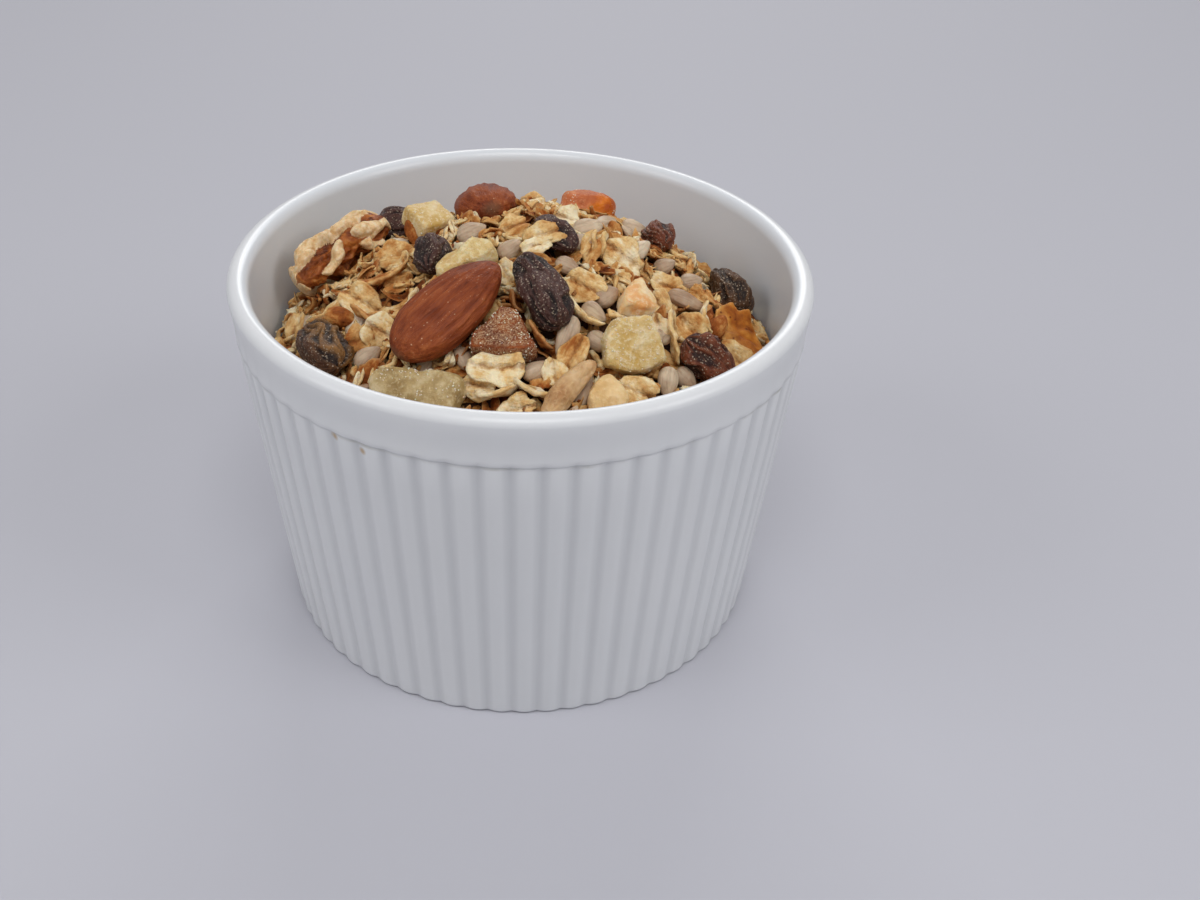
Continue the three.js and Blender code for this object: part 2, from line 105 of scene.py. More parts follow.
def layered(points, seed=0, layers=3):
    """Noise with finer and finer bumps, each layer half as strong as the one before."""
    return sum(noise(points * 2 ** i, seed + i) * 0.5 ** i for i in range(layers))


def ridged(points, seed=0, layers=2):
    """Noise with sharp ridges at 1 and round valleys towards 0."""
    total = sum((1 - np.abs(noise(points * 2 ** i, seed + i))) * 0.5 ** i for i in range(layers))
    return total / (2 - 0.5 ** (layers - 1))


def smooth_step(low, high, value):
    share = np.clip((value - low) / (high - low), 0, 1)
    return share * share * (3 - 2 * share)


def lerp(low, high, share):
    return low + (high - low) * share


# ---- Meshes -----------------------------------------------------------------------------
def skin_faces(rings, sides):
    """Triangles of a closed skin: a start point, `rings` rings of `sides` points, an end."""
    side = np.arange(sides)
    after = (side + 1) % sides
    last = 1 + rings * sides
    parts = [np.stack([0 * side, 1 + after, 1 + side], 1)]
    for ring in range(rings - 1):
        low = 1 + ring * sides
        high = low + sides
        parts.append(np.stack([low + side, low + after, high + after], 1))
        parts.append(np.stack([low + side, high + after, high + side], 1))
    top = last - sides
    parts.append(np.stack([last + 0 * side, top + side, top + after], 1))
    return np.concatenate(parts)


def skin_points(start, rings, end):
    return np.concatenate([np.reshape(start, (1, 3)), np.reshape(rings, (-1, 3)),
                           np.reshape(end, (1, 3))])


def make_object(name, points, faces, material, slot, stands_for=(), **values):
    """A mesh object from arrays. `values` become point attributes that materials read."""
    mesh = bpy.data.meshes.new(name)
    mesh.vertices.add(len(points))
    mesh.vertices.foreach_set("co", (np.asarray(points) * MM).astype(np.float32).ravel())
    mesh.loops.add(faces.size)
    mesh.loops.foreach_set("vertex_index", faces.astype(np.int32).ravel())
    mesh.polygons.add(len(faces))
    starts = np.arange(0, faces.size, faces.shape[1], dtype=np.int32)
    mesh.polygons.foreach_set("loop_start", starts)
    mesh.polygons.foreach_set("use_smooth", np.ones(len(faces), dtype=bool))
    mesh.update(calc_edges=True)
    for key, value in values.items():
        value = np.asarray(value, dtype=np.float32)
        kind, field = ("FLOAT_VECTOR", "vector") if value.ndim == 2 else ("FLOAT", "value")
        mesh.attributes.new(key, kind, "POINT").data.foreach_set(field, value.ravel())
    mesh.materials.append(material)
    made = bpy.data.objects.new(name, mesh)
    bpy.context.scene.collection.objects.link(made)
    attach(made, "root")
    if stands_for:
        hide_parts(*stands_for)
    return made


class Pile:
    """Many small pieces with the same faces, joined into one mesh."""

    def __init__(self, name, faces):
        self.name = name
        self.faces = faces
        self.points = []
        self.values = []

    def add(self, points, **values):
        """One more piece. A value is one number for the whole piece or a row for each point."""
        self.points.append(points)
        self.values.append({key: value if np.ndim(value) else np.full(len(points), value)
                            for key, value in values.items()})

    def make(self, material, slot):
        size = len(self.points[0])
        faces = np.concatenate([self.faces + i * size for i in range(len(self.points))])
        values = {key: np.concatenate([one[key] for one in self.values]) for key in self.values[0]}
        return make_object(self.name, np.concatenate(self.points), faces, material, slot, **values)


# ---- Materials --------------------------------------------------------------------------
def srgb(red, green, blue):
    """A colour as it looks on the screen, 0 to 255, in linear light."""
    def linear(value):
        share = value / 255
        return share / 12.92 if share <= 0.04045 else ((share + 0.055) / 1.055) ** 2.4
    return (linear(red), linear(green), linear(blue), 1.0)


def tint(colour):
    """A colour given as three screen values, made linear; anything else as it is."""
    return srgb(*colour) if isinstance(colour, tuple) else colour


class Look:
    """A procedural material, built node by node. `depth` above 1 deepens its colour."""

    def __init__(self, name, depth=1.0, **constants):
        self.depth = depth
        self.material = bpy.data.materials.new(name)
        self.material.use_nodes = True
        self.nodes = self.material.node_tree.nodes
        self.links = self.material.node_tree.links
        self.shader = self.nodes["Principled BSDF"]
        for socket, value in constants.items():
            title = socket.replace("_", " ").title().replace("Ior", "IOR")
            self.shader.inputs[title].default_value = value

    def add(self, kind, inputs=None, **settings):
        node = self.nodes.new("ShaderNode" + kind)
        for key, value in settings.items():
            setattr(node, key, value)
        for socket, value in (inputs or {}).items():
            self.feed(node.inputs[socket], value)
        return node

    def feed(self, socket, value):
        if isinstance(value, bpy.types.NodeSocket):
            self.links.new(value, socket)
        else:
            socket.default_value = value

    def value(self, name):
        """A number kept on the mesh's points."""
        return self.add("Attribute", attribute_name=name).outputs["Fac"]

    def local(self, stretch=(1, 1, 1)):
        """The point's place in its piece, in millimetres, scaled along the piece's axes."""
        place = self.add("Attribute", attribute_name="local").outputs["Vector"]
        return self.add("Mapping", {"Vector": place, "Scale": stretch}).outputs["Vector"]

    def along(self, axis):
        """How far along its piece's own axis the point lies, in millimetres."""
        return self.add("SeparateXYZ", {0: self.local()}).outputs[axis]

    def noise(self, scale, stretch=(1, 1, 1), detail=3, roughness=0.55, distortion=0.0):
        node = self.add("TexNoise", {"Vector": self.local(stretch), "Scale": scale, "Detail": detail,
                                     "Roughness": roughness, "Distortion": distortion})
        return node.outputs["Fac"]

    def cells(self, scale):
        """How far the point is from the nearest of many scattered spots."""
        return self.add("TexVoronoi", {"Vector": self.local(), "Scale": scale}).outputs["Distance"]

    def math(self, operation, first, second=0.0):
        return self.add("Math", {0: first, 1: second}, operation=operation).outputs[0]

    def times(self, first, *more):
        for value in more:
            first = self.math("MULTIPLY", first, value)
        return first

    def plus(self, first, *more):
        for value in more:
            first = self.math("ADD", first, value)
        return first

    def minus(self, first, second):
        return self.math("SUBTRACT", first, second)

    def spread(self, value, low, high, to_low=0.0, to_high=1.0):
        """`value` from low to high mapped onto to_low to to_high, held at both ends."""
        node = self.add("MapRange", {"Value": value, "From Min": low, "From Max": high,
                                     "To Min": to_low, "To Max": to_high})
        return node.outputs["Result"]

    def ramp(self, value, *stops):
        """A colour by `value`: stops of (place, colour)."""
        node = self.add("ValToRGB", {"Fac": value})
        elements = node.color_ramp.elements
        while len(elements) < len(stops):
            elements.new(0.5)
        for element, (place, colour) in zip(elements, stops):
            element.position = place
            element.color = tint(colour)
        return node.outputs["Color"]

    def mix(self, share, first, second):
        node = self.add("MixRGB", {"Fac": share, "Color1": tint(first), "Color2": tint(second)})
        return node.outputs["Color"]

    def bump(self, height, distance, under=None):
        """Relief `distance` millimetres deep; a negative one presses in."""
        inputs = {"Height": height, "Distance": distance * MM, "Strength": 1.0}
        if under is not None:
            inputs["Normal"] = under
        return self.add("Bump", inputs).outputs["Normal"]

    def finish(self, colour=None, roughness=None, normal=None):
        colour = tint(colour)
        if colour is not None and self.depth != 1.0:
            colour = self.add("Gamma", {"Color": colour, "Gamma": self.depth}).outputs["Color"]
        if colour is not None:
            self.feed(self.shader.inputs["Base Color"], colour)
        if roughness is not None:
            self.feed(self.shader.inputs["Roughness"], roughness)
        if normal is not None:
            self.links.new(normal, self.shader.inputs["Normal"])
        return self.material


def porcelain_look():
    """White glaze, greyer in the grooves as painted shade, with muesli dust caught under the band."""
    look = Look("porcelain_glaze", roughness=0.27, specular_ior_level=0.4)
    white = look.mix(look.noise(0.05, detail=1), (226, 227, 229), (220, 222, 225))
    height = look.along("Z")
    flat = look.local((1, 1, 0))
    from_axis = look.add("VectorMath", {0: flat}, operation="LENGTH").outputs["Value"]
    past_wall = look.minus(from_axis, look.times(height, INNER_SLOPE))
    outer = look.spread(past_wall, INNER_RADIUS_0 + 0.8, INNER_RADIUS_0 + 1.6)
    white = look.mix(outer, (221, 225, 230), white)
    around = look.add("SeparateXYZ", {0: flat}).outputs
    turn = look.math("ARCTAN2", around["Y"], around["X"])
    ripple = look.math("COSINE", look.times(look.minus(turn, CREST_TURN), RIBS))
    # Painted shade: the rib valleys, up to the band, are greyed as if shadowed.
    painted_groove_shade = look.times(look.spread(ripple, -1.0, 0.2, 0.34, 0.0),
                        look.spread(height, BAND_Z - 0.4, BAND_Z + 0.1, 1.0, 0.0))
    white = look.mix(look.times(painted_groove_shade, outer), white, (186, 188, 192))
    off_edge = look.math("ABSOLUTE", look.minus(height, BAND_Z - BAND_STEP))
    in_edge = look.times(look.spread(off_edge, 0.1, 0.42, 0.5, 0.0), outer)
    residue = look.times(in_edge, look.spread(look.noise(0.13, detail=4), 0.42, 0.72))
    colour = look.mix(residue, white, (150, 146, 128))
    for place, reach in GLAZE_SPECKS:
        away = look.add("VectorMath", {0: look.local(), 1: place}, operation="DISTANCE").outputs["Value"]
        colour = look.mix(look.spread(away, reach * 0.4, reach, 0.75, 0.0), colour, (182, 148, 96))
    return look.finish(colour, normal=look.bump(look.noise(0.06, detail=1), 0.12))


def core_look():
    look = Look("muesli_core_painted_shade", roughness=0.9)
    grain = look.noise(0.5, detail=5)
    # Painted shade: the core is coloured dark brown to stand for the shadowed gaps deep in the heap.
    colour = look.ramp(grain, (0.3, (34, 14, 7)), (0.55, (78, 42, 20)), (0.75, (120, 76, 42)))
    return look.finish(colour, normal=look.bump(grain, 0.8))


def oat_look():
    """Rolled oat: cream starch, tan patches and a brown seam; `tone` runs pale to toasted."""
    look = Look("oat_flake", 1.25, specular_ior_level=0.2, subsurface_weight=0.15,
                subsurface_scale=0.0008, subsurface_radius=(1.0, 0.6, 0.3))
    fibre = look.noise(1.7, (0.35, 1.6, 1.0), detail=4, roughness=0.6)
    patch = look.noise(0.34)
    starch = look.noise(1.1, detail=4, roughness=0.65)
    shade = look.times(look.value("tone"), 0.7)
    for grain, weight in ((fibre, 0.3), (patch, 0.95), (starch, 0.45)):
        shade = look.plus(shade, look.times(look.minus(grain, 0.5), weight))
    shade = look.plus(shade, 0.1)
    colour = look.ramp(shade, (0.04, (251, 238, 208)), (0.22, (238, 208, 156)),
                       (0.42, (212, 162, 102)), (0.62, (178, 112, 56)), (0.9, (116, 60, 25)))
    # Painted light: the flake turns paler towards its thin rim, as light shining through the edge.
    edge = look.spread(look.value("rim"), 0.86, 1.0, 0.0, 0.35)
    colour = look.mix(edge, colour, (236, 206, 156))
    winding = look.spread(starch, 0.3, 0.7, -0.12, 0.12)
    off = look.math("ABSOLUTE", look.plus(look.value("across"), winding))
    seam = look.times(look.spread(off, 0.03, 0.2, 1.0, 0.0), look.spread(patch, 0.38, 0.6, 0.1, 0.7))
    colour = look.mix(seam, colour, (150, 92, 44))
    relief = look.bump(fibre, 0.16, under=look.bump(starch, 0.5))
    relief = look.bump(seam, -0.2, under=relief)
    return look.finish(colour, look.spread(fibre, 0.3, 0.7, 0.6, 0.82), relief)


def kernel_look():
    """Sunflower kernel: greyish beige with darker skin patches and fine lengthwise lines."""
    look = Look("sunflower_kernel", 1.05, specular_ior_level=0.4, subsurface_weight=0.1,
                subsurface_scale=0.0006)
    lines = look.noise(2.2, (0.12, 1.0, 1.0))
    patch = look.noise(0.35)
    shade = look.plus(look.times(look.value("tone"), 0.5), look.times(patch, 0.6))
    colour = look.ramp(shade, (0.2, (232, 216, 190)), (0.46, (210, 189, 161)),
                       (0.68, (184, 157, 130)), (0.92, (154, 110, 70)))
    colour = look.mix(look.spread(lines, 0.45, 0.7, 0.0, 0.45), colour, (140, 110, 90))
    relief = look.bump(lines, 0.22, under=look.bump(patch, 0.4))
    return look.finish(colour, look.spread(lines, 0.3, 0.7, 0.32, 0.55), relief)


def almond_look():
    look = Look("almond_skin", 1.05, specular_ior_level=0.25)
    veins = look.noise(1.1, (0.12, 1.0, 1.0), detail=4, roughness=0.65)
    fine = look.noise(3.2, (0.3, 1.0, 1.0), detail=4, roughness=0.65)
    patch = look.noise(0.16)
    shade = look.plus(look.times(veins, 0.5), look.times(patch, 0.35), look.times(fine, 0.15))
    colour = look.ramp(shade, (0.34, (96, 38, 13)), (0.46, (132, 61, 26)),
                       (0.56, (154, 79, 38)), (0.7, (186, 112, 62)))
    specks = look.spread(look.cells(0.95), 0.06, 0.13, 1.0, 0.0)
    dusty = look.times(specks, look.spread(look.noise(0.5), 0.46, 0.56))
    fine_dust = look.times(look.spread(look.cells(2.1), 0.08, 0.2, 1.0, 0.0),
                           look.spread(veins, 0.45, 0.65, 0.0, 0.5))
    dust = look.math("MAXIMUM", look.times(dusty, 0.8), fine_dust)
    colour = look.mix(dust, colour, (236, 204, 168))
    scar = look.spread(look.value("end"), 0.93, 0.99)
    colour = look.mix(look.times(scar, 0.6), colour, (110, 84, 62))
    relief = look.bump(fine, 0.12, under=look.bump(veins, 0.45))
    return look.finish(colour, look.spread(fine, 0.3, 0.7, 0.4, 0.6), relief)


def walnut_look():
    """`flesh` is 1 on the bare cream ridges and 0 in the brown skin between them."""
    look = Look("walnut", 1.1, specular_ior_level=0.25, subsurface_weight=0.1, subsurface_scale=0.001)
    flesh = look.value("flesh")
    ragged = look.noise(0.9, detail=4, roughness=0.65)
    mottle = look.noise(0.4, detail=4, distortion=0.6)
    brown = look.ramp(mottle, (0.3, (96, 44, 16)), (0.48, (152, 84, 36)), (0.6, (190, 122, 62)),
                      (0.75, (214, 164, 106)))
    cream = look.ramp(ragged, (0.3, (206, 164, 112)), (0.5, (230, 200, 154)), (0.7, (244, 226, 196)))
    torn = look.plus(flesh, look.times(look.minus(ragged, 0.5), 0.9))
    colour = look.mix(look.spread(torn, 0.38, 0.62), brown, cream)
    relief = look.bump(ragged, 0.35, under=look.bump(mottle, 0.5))
    return look.finish(colour, look.spread(torn, 0.3, 0.7, 0.42, 0.62), relief)


def raisin_look(name, deep, skin, dust, far=None):
    """Wrinkled skin with painted shade in its creases, peppered with pale dust. `far` is its colour at +Y.
    """
    look = Look(name, 1.05, specular_ior_level=0.3)
    fine = look.noise(1.8, (0.6, 1.0, 1.0), detail=4, roughness=0.65)
    patch = look.noise(0.25)
    shade = look.plus(look.times(look.value("crest"), 0.6), look.times(fine, 0.5))
    if far:
        across = look.plus(look.along("Y"), look.times(patch, 4.0))
        skin = look.mix(look.spread(across, 21.2, 23.4), skin, far)
    # Painted shade: the creases, where the crest value is low, take the deep colour.
    colour = look.mix(look.spread(shade, 0.35, 0.8), deep, skin)
    bloom = look.times(look.spread(fine, 0.5, 0.72), look.spread(patch, 0.35, 0.7, 0.1, 0.6))
    colour = look.mix(bloom, colour, dust)
    uneven = look.spread(look.noise(2.6, detail=2), 0.35, 0.65, -0.14, 0.16)
    small = look.spread(look.plus(look.cells(2.1), uneven), 0.1, 0.32, 1.0, 0.0)
    large = look.spread(look.plus(look.cells(1.2), uneven), 0.02, 0.16, 1.0, 0.0)
    where = look.times(look.spread(patch, 0.34, 0.5), look.spread(fine, 0.36, 0.54, 0.3, 1.0))
    grains = look.times(look.math("MAXIMUM", small, large), look.times(where, 0.85))
    colour = look.mix(grains, colour, (222, 202, 178))
    relief = look.bump(fine, 0.45, under=look.bump(grains, 0.12))
    return look.finish(colour, look.spread(fine, 0.35, 0.7, 0.28, 0.55), relief)


def candied_look(name, deep, flesh, pale, sugar=0.4, clear=None, speck=0.0, rough_depth=0.22,
                 glow=None):
    """Candied fruit: soft translucent flesh under a thin, patchy crust of sugar.

    `clear` is (x, dark, bright): past that place along the piece it is bare, glossy and saturated.
    `speck` is how densely fine white grains cover the face's middle; `rough_depth` is in mm.
    `glow` is painted light: the colour of light shining through at thin edges.
    """
    look = Look(name, 1.1, specular_ior_level=0.3, subsurface_weight=0.35,
                subsurface_scale=0.0015, subsurface_radius=(1.0, 0.7, 0.35))
    cloud = look.noise(0.3)
    crust = look.noise(1.5, detail=4, roughness=0.7)
    colour = look.ramp(cloud, (0.32, deep), (0.5, flesh), (0.7, pale))
    frosted = look.times(look.spread(crust, 0.5, 0.64), sugar)
    rough = look.spread(crust, 0.4, 0.65, 0.38, 0.7)
    if clear:
        along = look.plus(look.along("X"), look.times(cloud, 4.0))
        bare = look.spread(along, clear[0] + 1.2, clear[0] + 2.6)
        frosted = look.times(frosted, look.minus(1.0, bare))
        colour = look.mix(bare, colour, look.ramp(cloud, (0.35, clear[1]), (0.62, clear[2])))
        rough = look.times(rough, look.spread(bare, 0, 1, 1.0, 0.6))
    colour = look.mix(frosted, colour, pale)
    if glow:
        # Painted light: the glow colour is laid on the thin rim, as light shining through.
        edge = look.times(look.spread(look.value("rim"), 0.75, 1.0), look.spread(cloud, 0.4, 0.56))
        colour = look.mix(look.times(edge, 0.85), colour, glow)
    relief = look.bump(crust, rough_depth, under=look.bump(cloud, 0.4))
    if speck:
        grain = look.noise(3.4, roughness=0.75)
        middle = look.spread(look.value("rim"), 0.3, 0.98, 1.0, 0.1)
        dust = look.times(look.spread(grain, 0.44, 0.62), look.times(middle, speck))
        colour = look.mix(dust, colour, (206, 176, 140))
        relief = look.bump(grain, 0.15, under=relief)
    return look.finish(colour, rough, relief)


def cornflake_look():
    """Toasted sheet, tan towards -Y and orange-brown towards +Y."""
    look = Look("toasted_flake", 1.25, specular_ior_level=0.2, subsurface_weight=0.1,
                subsurface_scale=0.0008)
    blister = look.noise(0.5, detail=4)
    golden = look.ramp(blister, (0.3, (140, 76, 22)), (0.52, (184, 118, 42)), (0.75, (212, 152, 74)))
    tan = look.ramp(blister, (0.3, (176, 118, 58)), (0.52, (206, 154, 88)), (0.75, (228, 186, 126)))
    colour = look.mix(look.spread(look.along("Y"), 18.6, 20.2), tan, golden)
    burnt = look.spread(look.cells(0.6), 0.06, 0.16, 0.8, 0.0)
    colour = look.mix(burnt, colour, (112, 54, 18))
    # Painted light: paler towards the thin rim, as light shining through the edge.
    colour = look.mix(look.spread(look.value("rim"), 0.9, 1.0, 0.0, 0.35), colour, (232, 190, 124))
    return look.finish(colour, look.spread(blister, 0.3, 0.7, 0.5, 0.7), look.bump(blister, 0.4))


def sugar_look():
    look = Look("sugar_grains", roughness=0.35, subsurface_weight=0.3, subsurface_scale=0.0004)
    return look.finish(look.mix(look.noise(0.7), (250, 240, 222), (226, 206, 180)))


# ---- Bowl -------------------------------------------------------------------------------
def inner_radius(z):
    return INNER_RADIUS_0 + INNER_SLOPE * z


def bowl_profile():
    """The bowl's section from under the foot, up the outside and down the inside: (r, z, rib)."""
    crest = BAND_RADIUS - BAND_STEP
    low_radius = lerp(BASE_RADIUS, crest, BASE_ROUND / BAND_Z)
    rows = [(FOOT_INNER_RADIUS * 0.5, FOOT_RECESS, 0)]
    rows += [(FOOT_INNER_RADIUS - FOOT_RECESS * (1 - math.sin(t)), FOOT_RECESS * math.cos(t), 0)
             for t in np.linspace(0, math.pi / 2, 5)]
    rows += [(BASE_RADIUS - BASE_ROUND, 0, 0.5)]
    rows += [(low_radius - BASE_ROUND * (1 - math.sin(t)), BASE_ROUND * (1 - math.cos(t)),
              0.5 + 0.5 * math.sin(t)) for t in np.linspace(0.3, math.pi / 2, 5)]
    rows += [(lerp(low_radius, crest, t), lerp(BASE_ROUND, BAND_Z - 0.2, t), 1)
             for t in np.linspace(0.04, 1, 9)]
    edge = [(-0.16, 0.06, 0.8), (-0.05, 0.2, 0.45), (0.0, 0.4, 0.2), (0.0, 1.2, 0.15), (0.0, 2.6, 0.08)]
    rows += [(BAND_RADIUS + dr, BAND_Z + dz, rib) for dr, dz, rib in edge]
    shoulder = BOWL_HEIGHT - LIP_HEIGHT
    rows += [(lerp(BAND_RADIUS, RIM_RADIUS, t), lerp(BAND_Z + 2.6, shoulder, t), 0.04 * (1 - t))
             for t in (0.33, 0.66, 1)]
    outward = RIM_RADIUS - LIP_TOP_RADIUS
    inward = LIP_TOP_RADIUS - inner_radius(INNER_TOP_Z)
    drop = BOWL_HEIGHT - INNER_TOP_Z
    lip = np.linspace(0.2, math.pi / 2, 8)
    rows += [(LIP_TOP_RADIUS + outward * math.cos(t), shoulder + LIP_HEIGHT * math.sin(t), 0) for t in lip]
    rows += [(LIP_TOP_RADIUS - inward * math.sin(t), INNER_TOP_Z + drop * math.cos(t), 0) for t in lip]
    rows += [(inner_radius(z), z, 0) for z in (57, 53, 48, 42, 30, 20)]
    low_wall = inner_radius(FLOOR_Z + FLOOR_FILLET)
    rows += [(low_wall - FLOOR_FILLET * (1 - math.cos(t)), FLOOR_Z + FLOOR_FILLET * (1 - math.sin(t)), 0)
             for t in np.linspace(0, math.pi / 2, 6)]
    rows += [(15, FLOOR_Z, 0)]
    return np.array(rows)


def make_bowl():
    profile = bowl_profile()
    sides = RIBS * RIB_POINTS
    angle = np.arange(sides) / sides * TAU + CREST_TURN
    across = 0.5 + 0.5 * np.cos(angle * RIBS - CREST_TURN * RIBS)
    valley = 1 - across ** 0.55
    radius = profile[:, :1] - RIB_DEPTH * profile[:, 2:] * valley[None]
    rings = np.stack([radius * np.cos(angle), radius * np.sin(angle),
                      np.repeat(profile[:, 1:2], sides, 1)], -1)
    points = skin_points((0, 0, FOOT_RECESS), rings, (0, 0, FLOOR_Z))
    make_object("porcelain_bowl", points, skin_faces(len(profile), sides), porcelain_look(),
                "porcelain", ["bowl"], local=points)


# ---- Heap's surface ---------------------------------------------------------------------
def heap_z(x, y):
    """Height of the heap's mean surface over the point (x, y)."""
    dx, dy = x - PEAK_X, y - PEAK_Y
    away = np.hypot(dx, dy) + 1e-9
    along = (PEAK_X * dx + PEAK_Y * dy) / away
    inside = EDGE_RADIUS ** 2 - PEAK_X ** 2 - PEAK_Y ** 2
    to_edge = np.sqrt(along ** 2 + inside) - along
    share = np.minimum(away / to_edge, 1.05)
    return EDGE_Z + (PEAK_Z - EDGE_Z) * (1 - share ** ROUNDNESS)


def heap_normal(x, y, step=0.5):
    slope_x = (heap_z(x + step, y) - heap_z(x - step, y)) / (2 * step)
    slope_y = (heap_z(x, y + step) - heap_z(x, y - step)) / (2 * step)
    return unit(np.array([-slope_x, -slope_y, 1.0]))


def unit(vector):
    return vector / np.linalg.norm(vector)


def axes_on(normal, turn, lean=0.0, roll=0.0):
    """Columns are a piece's axes: X along the surface, turned from east, Z along the normal."""
    east = unit(np.array([1.0, 0, 0]) - normal[0] * normal)
    north = np.cross(normal, east)
    t, l, r = np.radians([turn, lean, roll])
    turned = np.array([[math.cos(t), -math.sin(t), 0], [math.sin(t), math.cos(t), 0], [0, 0, 1]])
    leaned = np.array([[math.cos(l), 0, -math.sin(l)], [0, 1, 0], [math.sin(l), 0, math.cos(l)]])
    rolled = np.array([[1, 0, 0], [0, math.cos(r), -math.sin(r)], [0, math.sin(r), math.cos(r)]])
    return np.stack([east, north, normal], 1) @ turned @ leaned @ rolled


def place_on_heap(points, at, turn, lean, roll, lift):
    """The points set over `at`, their middle `lift` above the heap's mean surface."""
    normal = heap_normal(*at)
    origin = np.array([*at, heap_z(*at)]) + lift * normal
    return points @ axes_on(normal, turn, lean, roll).T + origin


def make_core():
    """What shows between the flakes: the heap's inside, dark with painted shade, uneven on top, round at
    its foot.
    """
    sides, rings = 120, 34
    angle = np.arange(sides) / sides * TAU
    circle = np.stack([np.cos(angle), np.sin(angle)], 1)
    wall = inner_radius(FLOOR_Z + FLOOR_FILLET) - GAP
    low = [(wall - 1.2 * FLOOR_FILLET, FLOOR_Z + GAP), (wall - 0.5 * FLOOR_FILLET, FLOOR_Z + 1.65),
           (wall, FLOOR_Z + FLOOR_FILLET), (inner_radius(30) - GAP, 30)]
    rows = [np.column_stack([circle * radius, np.full(sides, z)]) for radius, z in low]
    for share in np.linspace(1, 0.03, rings):
        place = circle * (EDGE_RADIUS - GAP) * share
        flat = np.column_stack([place, np.zeros(sides)])
        relief = 0.9 * layered(flat * 0.35, 5) + 0.3
        rows.append(np.column_stack([place, heap_z(*place.T) - CORE_DROP + relief]))
    points = skin_points((0, 0, FLOOR_Z + GAP), np.array(rows), (0, 0, heap_z(0.0, 0.0) - CORE_DROP))
    make_object("muesli_core", points, skin_faces(len(rows), sides), core_look(), "muesli",
                ["muesli_heap"], local=points)


# ---- Shapes of the food, each about its own middle, long axis on X; `phase` varies the form ---
def rounded_body(size, stations, sides, outline, bend=0.0):
    """Rings of a rounded body; `outline(u, angle)` scales its section at u from -1 to 1."""
    u = -np.cos(np.arange(1, stations) / stations * math.pi)[:, None]
    angle = np.arange(sides)[None] / sides * TAU
    scale = outline(u, angle)
    length, width, height = size
    rings = np.stack([length / 2 * u + 0 * angle,
                      width / 2 * scale * np.cos(angle) + bend * (1 - u * u),
                      height / 2 * scale * np.sin(angle)], -1)
    return rings, u, angle


def push_out(rings, amount):
    """Moves each point of the rings away from the body's long axis by `amount`."""
    away = rings * np.array([0.0, 1, 1])
    reach = np.linalg.norm(away, axis=-1, keepdims=True)
    return rings + away / np.maximum(reach, 1e-6) * amount[..., None]


def closed_body(size, rings, key, value, first=0.0, last=0.0):
    """Points, triangles and one value of a body, its rings closed at both ends of its length."""
    half = size[0] / 2
    points = skin_points((-half, 0, 0), rings, (half, 0, 0))
    value = np.broadcast_to(value, rings.shape[:2]).ravel()
    return points, skin_faces(*rings.shape[:2]), {key: np.concatenate([[first], value, [last]])}


def slab(low, rings, high, rim):
    """Points of a flat piece, its rings closed below and above, and each ring's `rim` value."""
    rings = np.array(rings)
    rim = np.concatenate([[0], np.repeat(rim, rings.shape[1]), [0]])
    return skin_points((0, 0, low), rings, (0, 0, high)), rim


def along_body(u, angle, round_scale, length_scale, seed=0):
    """Points for noise that runs lengthwise along a body."""
    return np.stack(np.broadcast_arrays(length_scale * u + 7.3 * seed, round_scale * np.cos(angle),
                                        round_scale * np.sin(angle)), -1)


def almond(size, phase):
    def outline(u, angle):
        return (1 - np.abs(u) ** 2.4) ** 0.55 * (1 - 0.17 * u) * (1 - 0.04 * u * u)
    rings, u, angle = rounded_body(size, 90, 110, outline)
    folds = ridged(along_body(u, angle, 3.6, 1.1, 1), 3)
    fine = ridged(along_body(u, angle, 8.5, 2.6, 2), 9)
    fade = (1 - u * u) ** 0.4
    rings = push_out(rings, -fade * (0.5 * (1 - folds) + 0.2 * (1 - fine)))
    return closed_body(size, rings, "end", -rings[..., 0] / (size[0] / 2), 1.0, -1.0)


def raisin(size, phase):
    def outline(u, angle):
        crease = 0.1 * np.sin(3 * angle + 2.2 * u + phase) + 0.05 * np.sin(5 * angle - phase)
        return (1 - u * u) ** 0.42 * (1 - 0.07 * np.cos(3 * u + phase) + crease)
    rings, u, angle = rounded_body(size, 84, 96, outline)
    winding = 0.5 * noise(rings * 0.35 + phase, 5)
    around = size[1] / 8
    run = along_body(u, angle + winding, 2.9 * around, 1.5 * size[0] / 14, phase)
    folds = ridged(run, 21, 1)
    fine = ridged(run * 2.4, 31, 2)
    fade = (1 - u * u) ** 0.3
    depth = 0.65 * around * (1 - smooth_step(0.35, 0.95, folds)) + 0.42 * (1 - fine)
    rings = push_out(rings, -fade * depth)
    return closed_body(size, rings, "crest", np.clip(1 - depth / 0.9, 0, 1), 0.5, 0.5)


# The walnut's bare ridges over its front, in its own axes: half width, points.
WALNUT_RIDGES = [
    (1.25, [(-1.0, -5.2, 2.0), (-2.2, -5.5, 0.4), (-5.0, -4.7, -0.8), (-7.6, -2.8, -1.2),
            (-8.9, -0.7, -1.0)]),
    (1.5, [(-8.6, -0.4, 1.7), (-7.2, -1.1, 2.9), (-5.6, -1.4, 3.8)]),
    (1.7, [(-5.6, 1.6, 4.2), (-3.4, 0.8, 4.7)]),
    (1.1, [(-1.8, 0.0, 4.8), (-1.3, -1.6, 4.6), (-0.9, -3.4, 3.8)]),
    (1.5, [(1.0, -1.5, 4.6), (3.3, -1.6, 4.3), (6.2, -0.8, 3.4)]),
    (2.2, [(4.0, -4.3, 1.6), (5.2, -4.4, 0.6), (7.0, -3.0, 0.2), (8.0, -1.6, -0.6)]),
    (1.0, [(3.3, -5.3, -0.4), (3.8, -5.0, -1.9), (5.6, -3.9, -2.6)]),
]


